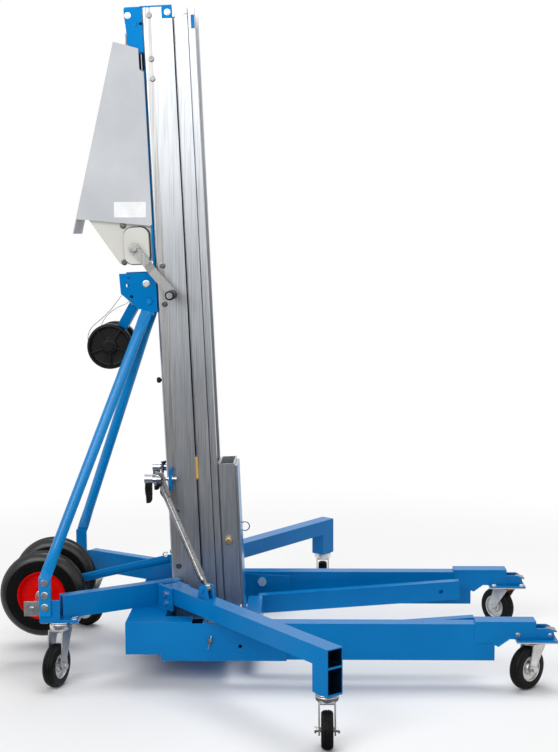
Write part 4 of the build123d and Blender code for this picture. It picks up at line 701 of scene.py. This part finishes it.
def casterBolt(name, sizes):
    # axle bolt with its head and nut outside the fork
    radius, width, height, trail, race = sizes
    reach = width / 2 + casterFit["wheelGap"] + casterFit["forkWall"]
    bits = []
    for face in (1, -1):
        place = standOn((-trail, face * reach, radius - height), (0, face, 0))
        bits.append(anotherOf(smallBolt, name, place))
    return joined(name, bits)


def makeCaster(kind, side):
    sizes = casterSet[kind]["sizes"]
    radius, width, height, trail, race = sizes
    x, y, z, turn = casterSet[kind]["spots"][side]
    stand = moved(x, y, z) @ turned(turn - 180, "Z")
    axle = stand @ moved(-trail, 0, radius - height) @ acrossY
    label = kind + side.capitalize()
    wheel, swivel = "caster_wheel_" + kind + "_" + side, "caster_fork_" + kind + "_" + side
    tyre = settle(casterTyre("casterTyre" + label, radius, width), axle)
    dress(tyre, "wheelRubber", bodyOf[wheel], [wheel])
    hub = settle(casterHub("casterHub" + label, radius, width), axle)
    dress(hub, "satinSteel", bodyOf[wheel], [wheel])
    fork = softNode(swivel, "satinSteel", 1.2)
    if kind == "leg":
        paintFaces(fork, "raceOrange", lambda spot: spot.z > toneSet["legRace"])
    ring = settle(casterRace("casterRace" + label, race), stand)
    dress(ring, casterSet[kind]["race"], bodyOf[swivel])
    if kind != "stab":
        dress(settle(casterBolt("casterBolt" + label, sizes), stand), "zinc", bodyOf[swivel])


for kind, entry in casterSet.items():
    for side in entry["spots"]:
        makeCaster(kind, side)
print("casters assembled")


# crank grip with finger ribs, and the nut on the crank shaft
gripSet = {"seat": (-150.8, -92.0, 1264.3), "angle": -51.0, "reach": 176.0, "start": 35.0, "long": 92.0,
           "ribs": 7, "firstRib": 10, "ribStep": 10.6, "nutLift": 9.6}


def makeGrip():
    start, end = gripSet["start"], gripSet["start"] + gripSet["long"]
    line = [(5.4, start), (11.6, start), (13.4, start + 1.4), (14, start + 4)]
    for rib in range(gripSet["ribs"]):
        at = start + gripSet["firstRib"] + rib * gripSet["ribStep"]
        line += [(14, at), (12.9, at + 1.2), (12.9, at + 2.8), (14, at + 4)]
    line += [(14, end - 4), (13.4, end - 1.4), (11.6, end), (5.4, end), (5.4, start)]
    crankFrame = mastFrame @ moved(*gripSet["seat"]) @ turned(90, "X") @ turned(gripSet["angle"], "Z")
    grip = smoothTurned("crankGripRibbed", line, 32)
    settle(grip, crankFrame @ moved(gripSet["reach"], 0, 0))
    dress(grip, "blackPlastic", "crank_grip", ["crank_grip"])
    nut = anotherOf(nutMaster, "crankNut", crankFrame @ moved(0, 0, gripSet["nutLift"]))
    dress(nut, "darkerAluminium", "crank")


makeGrip()
print("crank fitted")


# struts: tube with crimped ends, a bolted foot and a tongue inside the winch bracket
strutSet = {"low": (-641.0, 313.0, 326.0), "high": (-363.5, 70.6, 1084.0),
            "foot": ((-662, 310, 206), (-628, 316, 322)), "tongue": ((-377, 68, 1060), (-347, 74, 1117))}


def makeStruts():
    low, high = Vector(strutSet["low"]), Vector(strutSet["high"])
    axis = (high - low).normalized()
    depth = (Vector((0, 1, 0)) - axis * axis.y).normalized()
    wide = depth.cross(axis)
    seat = Matrix.Translation(low * mm) @ Matrix((wide, depth, axis)).transposed().to_4x4()
    long = (high - low).length
    rings = [(16.6, 3, -14), (17, 3.2, 6), (17.2, 5.4, 18), (17, 9.6, 36), (16.4, 13.6, 56), (16, 16, 84),
             (16, 16, long - 92), (16.6, 13, long - 62), (17.4, 8, long - 40), (17, 3.6, long - 16),
             (16, 3, long)]
    tube = settle(ringPiece("strutTube", rings, 36), seat)
    foot = block("strutFoot", *strutSet["foot"], 1.4)
    tongue = block("strutTongue", *strutSet["tongue"], 1.2)
    strut = roundEdges(joined("strutLeft", [tube, foot, tongue]), 0)
    # the lighter blue of the struts is painted light
    dressPair(strut, "paintedLightGlossBlue", "base", ["mast_strut_left"])


makeStruts()
print("struts crimped")


# fasteners and small fittings of the base and the mast
fastenerSet = {
    "strutBolts": [(-645, 316, height) for height in (233, 268, 306)],
    "plateBolts": [(x, y, 194) for x in (-650, -564) for y in (268, 296)],
    "legPlateBolts": [(722, 262, 146), (812, 262, 146)],
    "legSideBolt": (712, 321.5, 158.6), "legSideScale": 0.72,
    "bracketBolts": [(-122, 80, 1160)],
    "grooveBolts": [(-71, 76, height) for height in (300, 470, 1098, 1212, 1758, 1815, 1940)],
    "headBolts": [(-134, 72, 1943)], "headTabBolts": [(-17, 80, 1946)],
    "winchBolts": [(-184, 62, 1335), (-186, 62, 1226.5)], "innerBolts": [(31, 76, 1945)],
}


def bothSides(name, master, spots, normal, place, body, finish="zinc"):
    # one fastener at each spot and its mirror image on the right
    bits = []
    for spot in spots:
        for hand in (1, -1):
            point = (spot[0], spot[1] * hand, spot[2])
            way = (normal[0], normal[1] * hand, normal[2])
            bits.append(anotherOf(master, name, place @ standOn(point, way)))
    return dress(joined(name, bits), finish, body)


def makeLegBolts(side, hand):
    bits = []
    for x, y, z in fastenerSet["legPlateBolts"]:
        bits.append(anotherOf(smallBolt, "bit", standOn((x, y * hand, z), (0, 0, 1))))
    x, y, z = fastenerSet["legSideBolt"]
    smaller = standOn((x, y * hand, z), (0, hand, 0)) @ Matrix.Scale(fastenerSet["legSideScale"], 4)
    bits.append(anotherOf(smallBolt, "bit", smaller))
    dress(joined("legBolts" + side.capitalize(), bits), "zinc", "leg_" + side)


outwards = (0, 1, 0)
bothSides("strutWashers", washer, fastenerSet["strutBolts"], outwards, level, "base")
bothSides("plateBolts", smallBolt, fastenerSet["plateBolts"], (0, 0, 1), level, "base")
# groove washers and winch bolts in dark chrome: painted dark reflection
for name, master, spots, body, finish in (
        ("bracketWashers", washer, "bracketBolts", "base", "zinc"),
        ("grooveWashers", thinWasher, "grooveBolts", "base", "chromePaintedDarkReflection"),
        ("headBolts", smallBolt, "headBolts", "base", "zinc"),
        ("headTabBolts", smallBolt, "headTabBolts", "base", "zinc"),
        ("winchBolts", smallBolt, "winchBolts", "base", "chromePaintedDarkReflection"),
        ("innerColumnBolts", smallBolt, "innerBolts", "inner_column", "zinc")):
    bothSides(name, master, fastenerSet[spots], outwards, mastFrame, body, finish)
for side, hand in hands.items():
    makeLegBolts(side, hand)
print("fasteners placed")


# blank plate on the winch cover, and a dark rim round the gear cover: painted shade of the gap
plateSet = {"low": (-206, -78.7, 1358), "high": (-111, -78.0, 1404), "tilt": 2.5, "corner": 2.5,
            "border": 1.6, "sunk": 0.15, "gapShade": ((-184.5, -64.2, 1216.5), (-104.5, -61.9, 1330.5)),
            "gapShadeCorner": 27.0}


def cutCorners(plate, radius, segments):
    # rounds the four edges that run across a thin plate, and stays in edit mode
    takeUp(plate, "EDGE")
    chooseEdges(plate, lambda a, b: abs(a.y - b.y) > 0.3 * mm)
    bpy.ops.mesh.bevel(offset=radius * mm, segments=segments, affect="EDGES")


def makePlates():
    plate = block("coverPlate", plateSet["low"], plateSet["high"])
    cutCorners(plate, plateSet["corner"], 3)
    chooseFaces(plate, lambda spot, normal: normal.y < -0.9)
    bpy.ops.mesh.inset(thickness=plateSet["border"] * mm, depth=-plateSet["sunk"] * mm)
    putDown()
    middle = Vector([(a + b) / 2 * mm for a, b in zip(plateSet["low"], plateSet["high"])])
    tilt = Matrix.Translation(middle) @ turned(plateSet["tilt"], "Y") @ Matrix.Translation(-middle)
    dress(roundEdges(settle(plate, mastFrame @ tilt), 0), "whitePlate", "base")
    # a dark rounded rim round the gear cover: painted shade of the gap
    gapShade = block("gearCoverGapShade", *plateSet["gapShade"])
    cutCorners(gapShade, plateSet["gapShadeCorner"], 8)
    putDown()
    dress(roundEdges(settle(gapShade, mastFrame), 0.5, 1), "blackPlastic", "base")


makePlates()
print("plates fixed")


# trim: lips of the cover, tabs, rings, eye bolt, stop knob, hole shades (a blue ring in a hole with painted
# shade in its middle), weld beads, caster top plates
trimSet = {
    "coverLip": ((-99.6, 76, 1333), (-95.6, 78, 1780)), "columnTab": ((50, 76, 1897), (60.5, 78, 1936)),
    "pullRing": (128, 61.8, 384), "pullRingSize": (14.0, 1.7),
    "eyeSeat": (-93.4, -48, 330), "eyeReach": 20.0, "eyeSize": (7.0, 2.2),
    "knobSeat": (-93.4, -54, 868), "stopBolt": (-168.5, 70, 1106.8), "stopNormal": (-0.69, 0, -0.72),
    "holeShade": (-82, 324.5, 123), "holeShadeBore": 0.0055, "holeShadeFloor": -0.0045,
    "weldFrom": (655, 320.6, 123.5), "weldTo": (688, 320.6, 147), "weldRadius": 2.4,
    "plateStrips": [((-661, 252, 182.2), (-639.5, 308, 186)), ((-574.5, 252, 182.2), (-553, 308, 186))],
}


def makeRing(name, radius, wire, sides=36):
    line = []
    for step in range(13):
        angle = math.radians(30 * step)
        line.append((radius + wire * math.cos(angle), wire * math.sin(angle)))
    return smoothTurned(name, line, sides)


def weldBead(name, start, end, radius):
    # rippled bead between two points
    run = Vector(end) - Vector(start)
    count = max(4, round(run.length / (radius * 1.3)))
    rings = [(radius * 0.4, radius * 0.4, 0)]
    for step in range(count):
        at = run.length * (step + 0.5) / count
        rings += [(radius, radius, at), (radius * 0.74, radius * 0.74, at + run.length * 0.45 / count)]
    rings.append((radius * 0.4, radius * 0.4, run.length))
    return roundEdges(settle(ringPiece(name, rings, 12), standOn(start, run)), 0)


def makeEyeBolt():
    reach = trimSet["eyeReach"]
    stem = turnedPiece("eyeBolt", [(5.6, 0), (5.6, 2), (3.2, 3), (3, reach - 8), (2.6, reach - 6)], 20)
    ring = settle(makeRing("eyeRing", *trimSet["eyeSize"], 28), moved(0, 0, reach) @ acrossX)
    eye = roundEdges(joined("eyeBolt", [stem, ring]), 0)
    dress(settle(eye, mastFrame @ standOn(trimSet["eyeSeat"], (-1, 0, 0))), "zinc", "base")


def makeHoleShades():
    line = [(10.9, -5), (10.9, -0.7), (10.4, -0.3), (5.8, -0.3), (5.4, -0.9), (5.4, -3.4)]
    holeShade = turnedPiece("plugLeft", line, 32)
    holeShade.data.materials.append(finishes["bluePaint"])
    bore, floor = trimSet["holeShadeBore"], trimSet["holeShadeFloor"]
    # the middle of each ring is painted shade of the hole
    paintFaces(holeShade, "paintedShade", lambda spot: spot.xy.length < bore and spot.z > floor)
    roundEdges(settle(holeShade, standOn(trimSet["holeShade"], outwards)), 0)
    dressPair(holeShade, "bluePaint", "base")


def makeTrim():
    lip = roundEdges(settle(block("coverLipLeft", *trimSet["coverLip"], 0.3, 1), mastFrame), 0)
    dressPair(lip, "silverSheet", "base")
    tab = roundEdges(settle(block("columnTabLeft", *trimSet["columnTab"], 0.6), mastFrame), 0)
    dressPair(tab, "bluePaint", "front_column")
    ring = makeRing("pullRing", *trimSet["pullRingSize"])
    place = Matrix.Translation(Vector(trimSet["pullRing"]) * mm)
    # pull ring in dark chrome: painted dark reflection
    dress(settle(ring, mastFrame @ place @ acrossY), "chromePaintedDarkReflection", "lift_carriage")
    makeEyeBolt()
    line = [(4, 0), (4, 4), (7.4, 4.6), (8.6, 6), (8.8, 12), (8, 14.6), (5, 16)]
    knob = settle(turnedPiece("stopKnob", line, 24), mastFrame @ standOn(trimSet["knobSeat"], (-1, 0, 0)))
    dress(roundEdges(knob, 0), "blackPlastic", "base")
    bothSides("stopBolts", smallBolt, [trimSet["stopBolt"]], trimSet["stopNormal"], mastFrame,
              "loading_arm", "yellowZinc")
    makeHoleShades()
    bead = weldBead("legWeldLeft", trimSet["weldFrom"], trimSet["weldTo"], trimSet["weldRadius"])
    dressPair(bead, "edgeWearAndHighlight", "leg_left")
    strips = [block("casterTopPlate", low, high, 0.8) for low, high in trimSet["plateStrips"]]
    dressPair(roundEdges(joined("casterTopPlateLeft", strips), 0), "zinc", "base")


makeTrim()
print("trim fitted")


# fillings, all painted shade: dark strips in the joint of the columns, a dark block in the cover notch, a
# dark disc in the head slot, a darker band under the bolts for the shade of the groove
fillSet = {"strips": [((-4, 68, 140), (-0.6, 75.2, 562)), ((-4, 68, 636), (-0.6, 75.2, 1928))],
           "band": ((-84, 75.8, 140), (-66, 76.2, 1962)), "notch": ((-108, 73.9, 1784), (-93.6, 75.8, 1832)),
           "slot": (-98, 72, 1918), "slotSize": 4.4}


def makeFillings():
    # dark strips in the joint of the columns: painted shade
    strips = [block("columnSeal", low, high, 0.5) for low, high in fillSet["strips"]]
    strip = roundEdges(settle(joined("columnSealLeft", strips), mastFrame), 0)
    # a dark block in the cover notch and a dark disc in the head slot: painted shade
    notch = roundEdges(settle(block("coverNotchLeft", *fillSet["notch"], 0.4), mastFrame), 0)
    wide = fillSet["slotSize"]
    slot = turnedPiece("headSlotLeft", [(wide, 0), (wide, 0.4), (wide - 0.5, 0.7), (wide - 2, 0.5)], 24)
    roundEdges(settle(slot, mastFrame @ standOn(fillSet["slot"], outwards)), 0)
    # a darker band under the groove bolts: painted shade of the groove
    band = roundEdges(settle(block("columnBandLeft", *fillSet["band"], 0.1, 1), mastFrame), 0)
    for piece, finish in ((strip, "blackPlastic"), (notch, "paintedShade"), (slot, "paintedShade"),
                          (band, "darkerAluminium")):
        dressPair(piece, finish, "base")


makeFillings()
print("fillings set")


def plateOf(name, outline, low, high, edge):
    # plate with an outline in x and z, between two values of y in millimetres
    letGo()
    bpy.ops.mesh.primitive_circle_add(vertices=len(outline), radius=mm, fill_type="NGON")
    piece = named(name)
    for corner, (x, z) in zip(piece.data.vertices, outline):
        corner.co = (x * mm, low * mm, z * mm)
    takeUp(piece, "FACE")
    bpy.ops.mesh.extrude_region_move(TRANSFORM_OT_translate={"value": (0, (high - low) * mm, 0)})
    closeUp()
    return roundEdges(piece, edge)


# brace heads: a barrel open to the inside and below, a sleeve on the rod and the handle of the knob
braceSet = {"stud": (-353.2, 104, 570), "barrel": (8.2, 14.4, 26.6), "open": (172, 288), "barrelSides": 72,
            "top": (-84.4, 0, 330), "foot": (172, 0, 48), "sleeve": (27, 64), "lowSleeve": (24, 46),
            "sleeveRadius": 9.6, "handleSpan": (99.4, 108.6),
            "handle": [(-377, 558), (-378, 541), (-376.6, 523), (-373, 512), (-374.4, 500), (-371, 496.4),
                       (-360, 498), (-356, 506), (-355.2, 522), (-355.2, 558)]}


def makeBraceHeads():
    inner, outer, long = braceSet["barrel"]
    line = [(inner, 0), (outer, 0), (outer, long), (inner, long), (inner, 0)]
    barrel = turnedPiece("braceBarrelLeft", line, braceSet["barrelSides"])
    takeUp(barrel, "FACE")
    low, high = braceSet["open"]
    chooseFaces(barrel, lambda spot, normal: low < math.degrees(math.atan2(-spot.x, spot.y)) % 360 < high)
    bpy.ops.mesh.delete(type="FACE")
    chooseAll()
    closeUp()
    roundEdges(settle(barrel, Matrix.Translation(Vector(braceSet["stud"]) * mm) @ acrossX), 0.8)
    top, foot = Vector(braceSet["top"]), Vector(braceSet["foot"])
    axis = (foot - top).normalized()
    radius = braceSet["sleeveRadius"]
    ends = []
    for (start, stop), root, way in ((braceSet["sleeve"], top, axis), (braceSet["lowSleeve"], foot, -axis)):
        line = [(radius - 4, 0), (radius - 1, 2), (radius, 6), (radius, stop - start)]
        place = beamFrame["left"] @ standOn(root + way * start, way)
        ends.append(settle(turnedPiece("braceSleeve", line, 28), place))
    sleeve = roundEdges(joined("braceSleeveLeft", ends), 0)
    handle = plateOf("knobHandleLeft", braceSet["handle"], *braceSet["handleSpan"], 2.2)
    dressPair(barrel, "chrome", "brace_left")
    # the sleeves on the rods in dark chrome: painted dark reflection
    dressPair(sleeve, "chromePaintedDarkReflection", "brace_left")
    dressPair(handle, "blackPlastic", "brace_knob_left")


makeBraceHeads()
print("brace heads fitted")


# leg ends: cheeks beside the pedals, caster top plates, and the slender lock pins of the housings
legEndSet = {"cheek": [(764, 146), (816, 146), (816, 161), (814, 168), (809, 173.6), (800, 177), (764, 177)],
             "cheekSpan": (18.8, 24.7), "legLine": 295, "cheekBolt": (804, 319.7, 158), "boltScale": 0.6,
             "topPlate": ((706.7, 249.7, 138.05), (823.9, 340.3, 141.6)), "pinSeat": (-168, 324.5, 140),
             "pinStem": [(4.6, -8), (5, -7), (5, 0.6), (6.2, 0.8), (6.6, 1.6), (6.6, 5.4), (5.6, 6.6),
                         (2, 6.8)],
             "finger": ((-1.9, 4.6, -24), (1.9, 9.4, 17)), "fingerLean": 14}


def makeLegEnds():
    bits = []
    for face in (1, -1):
        span = sorted(legEndSet["legLine"] + face * side for side in legEndSet["cheekSpan"])
        bits.append(plateOf("pedalCheek", legEndSet["cheek"], *span, 0.9))
    dressPair(roundEdges(joined("pedalCheekLeft", bits), 0), "bluePaint", "leg_left")
    smaller = standOn(legEndSet["cheekBolt"], outwards) @ Matrix.Scale(legEndSet["boltScale"], 4)
    dressPair(anotherOf(smallBolt, "cheekBoltLeft", smaller), "zinc", "leg_left")
    plate = roundEdges(block("legTopPlateLeft", *legEndSet["topPlate"], 0.6), 0)
    dressPair(plate, "silverSheet", "leg_left")


def makeLockPins():
    stem = turnedPiece("lockPinLeft", legEndSet["pinStem"], 24)
    settle(stem, standOn(legEndSet["pinSeat"], outwards))
    stem.data.materials.append(finishes["yellowZinc"])
    seat = Matrix.Translation(Vector(legEndSet["pinSeat"]) * mm)
    lean = turned(legEndSet["fingerLean"], "Y")
    finger = settle(block("lockFinger", *legEndSet["finger"], 1.2), seat @ lean)
    finger.data.materials.append(finishes["zinc"])
    pin = roundEdges(joined("lockPinLeft", [stem, finger]), 0)
    dressPair(pin, "zinc", "leg_lock_pin_left", ["leg_lock_pin_left"])


makeLegEnds()
makeLockPins()
print("leg ends fitted")

for master in (smallBolt, nutMaster, washer, thinWasher):
    bpy.data.objects.remove(master)

# studio: pale floor that fades to white far away, white surroundings and soft boxes
studioSet = {"floorReach": 60.0, "floorShade": (0.93, 0.93, 0.93), "floorRough": 0.9, "fadeFrom": 1.0,
             "fadeTo": 2.8, "ambient": 0.34, "white": (1, 1, 1, 1),
             "cardLow": (-12.0, -8.0), "cardHigh": (12.0, -0.45), "cardLift": 0.004, "cardWall": 0.9,
             "cardShade": (0.09, 0.09, 0.10),
             "boxes": {"aboveCamera": ((0.1, -4.4, 2.85), (-0.1, 0.0, 1.2), (3.4, 2.2), 44.0),
                       "frontKey": ((-2.2, -3.3, 2.7), (0.1, 0.0, 0.7), (2.4, 2.0), 62.0),
                       "overhead": ((0.3, 0.9, 4.0), (0.1, 0.5, 0.0), (3.0, 2.6), 105.0)}}


def lightWorld():
    # an even dim light, seen as white by the camera and in reflections
    world = bpy.data.worlds.new("whiteStudio")
    bpy.context.scene.world = world
    world.use_nodes = True
    nodes, links = world.node_tree.nodes, world.node_tree.links
    ambient = nodes["Background"]
    setSockets(ambient, {"Color": studioSet["white"], "Strength": studioSet["ambient"]})
    seen = nodes.new("ShaderNodeBackground")
    setSockets(seen, {"Color": studioSet["white"]})
    path = nodes.new("ShaderNodeLightPath")
    share = path.outputs["Is Camera Ray"]
    for ray in ("Is Glossy Ray", "Is Transmission Ray"):
        either = nodes.new("ShaderNodeMath")
        either.operation = "MAXIMUM"
        links.new(share, either.inputs[0])
        links.new(path.outputs[ray], either.inputs[1])
        share = either.outputs[0]
    mix = nodes.new("ShaderNodeMixShader")
    for socket, source in zip(mix.inputs, (share, ambient.outputs[0], seen.outputs[0])):
        links.new(source, socket)
    links.new(mix.outputs[0], nodes["World Output"].inputs["Surface"])


def layFloor():
    letGo()
    bpy.ops.mesh.primitive_plane_add(size=2 * studioSet["floorReach"])
    floor = named("studioFloor")
    paper, nodes, links = newMaterial("floorPaper")
    shader = nodes["Principled BSDF"]
    setSockets(shader, {"Base Color": (*studioSet["floorShade"], 1), "Roughness": studioSet["floorRough"]})
    glow = nodes.new("ShaderNodeEmission")
    where = nodes.new("ShaderNodeTexCoord")
    far = nodes.new("ShaderNodeVectorMath")
    far.operation = "LENGTH"
    links.new(where.outputs["Object"], far.inputs[0])
    fade = nodes.new("ShaderNodeMapRange")
    fade.interpolation_type = "SMOOTHSTEP"
    setSockets(fade, {"From Min": studioSet["fadeFrom"], "From Max": studioSet["fadeTo"]})
    links.new(far.outputs["Value"], fade.inputs["Value"])
    mix = nodes.new("ShaderNodeMixShader")
    for socket, source in zip(mix.inputs, (fade.outputs["Result"], shader.outputs[0], glow.outputs[0])):
        links.new(source, socket)
    links.new(mix.outputs[0], nodes["Material Output"].inputs["Surface"])
    floor.data.materials.append(paper)


def layCard():
    # dark card with a low wall, seen in reflections only
    bpy.ops.mesh.primitive_plane_add(size=1)
    card = named("darkCard")
    takeUp(card, "FACE")
    low, high = Vector(studioSet["cardLow"]), Vector(studioSet["cardHigh"])
    bpy.ops.transform.resize(value=(*(high - low), 1))
    bpy.ops.transform.translate(value=(*((low + high) / 2), studioSet["cardLift"]))
    bpy.ops.mesh.select_mode(type="EDGE")
    chooseEdges(card, lambda a, b: max(a.y, b.y) < low.y + 0.01)
    bpy.ops.mesh.extrude_region_move(TRANSFORM_OT_translate={"value": (0, 0, studioSet["cardWall"])})
    putDown()
    felt, nodes, links = newMaterial("cardFelt")
    setSockets(nodes["Principled BSDF"], {"Base Color": (*studioSet["cardShade"], 1), "Roughness": 1.0})
    card.data.materials.append(felt)
    card.visible_camera = False
    card.visible_diffuse = False
    card.visible_shadow = False


def hangBoxes():
    for name, (place, aim, size, power) in studioSet["boxes"].items():
        bpy.ops.object.light_add(type="AREA", location=place)
        lamp = bpy.context.object
        lamp.name = name
        lamp.data.shape = "RECTANGLE"
        lamp.data.size, lamp.data.size_y = size
        lamp.data.energy = power
        lamp.data.spread = math.radians(180)
        lamp.rotation_euler = (Vector(aim) - Vector(place)).to_track_quat("-Z", "Y").to_euler()
        lamp.visible_camera = False


lightWorld()
layFloor()
layCard()
hangBoxes()
bpy.context.scene.view_settings.view_transform = "Standard"
print("studio lit")
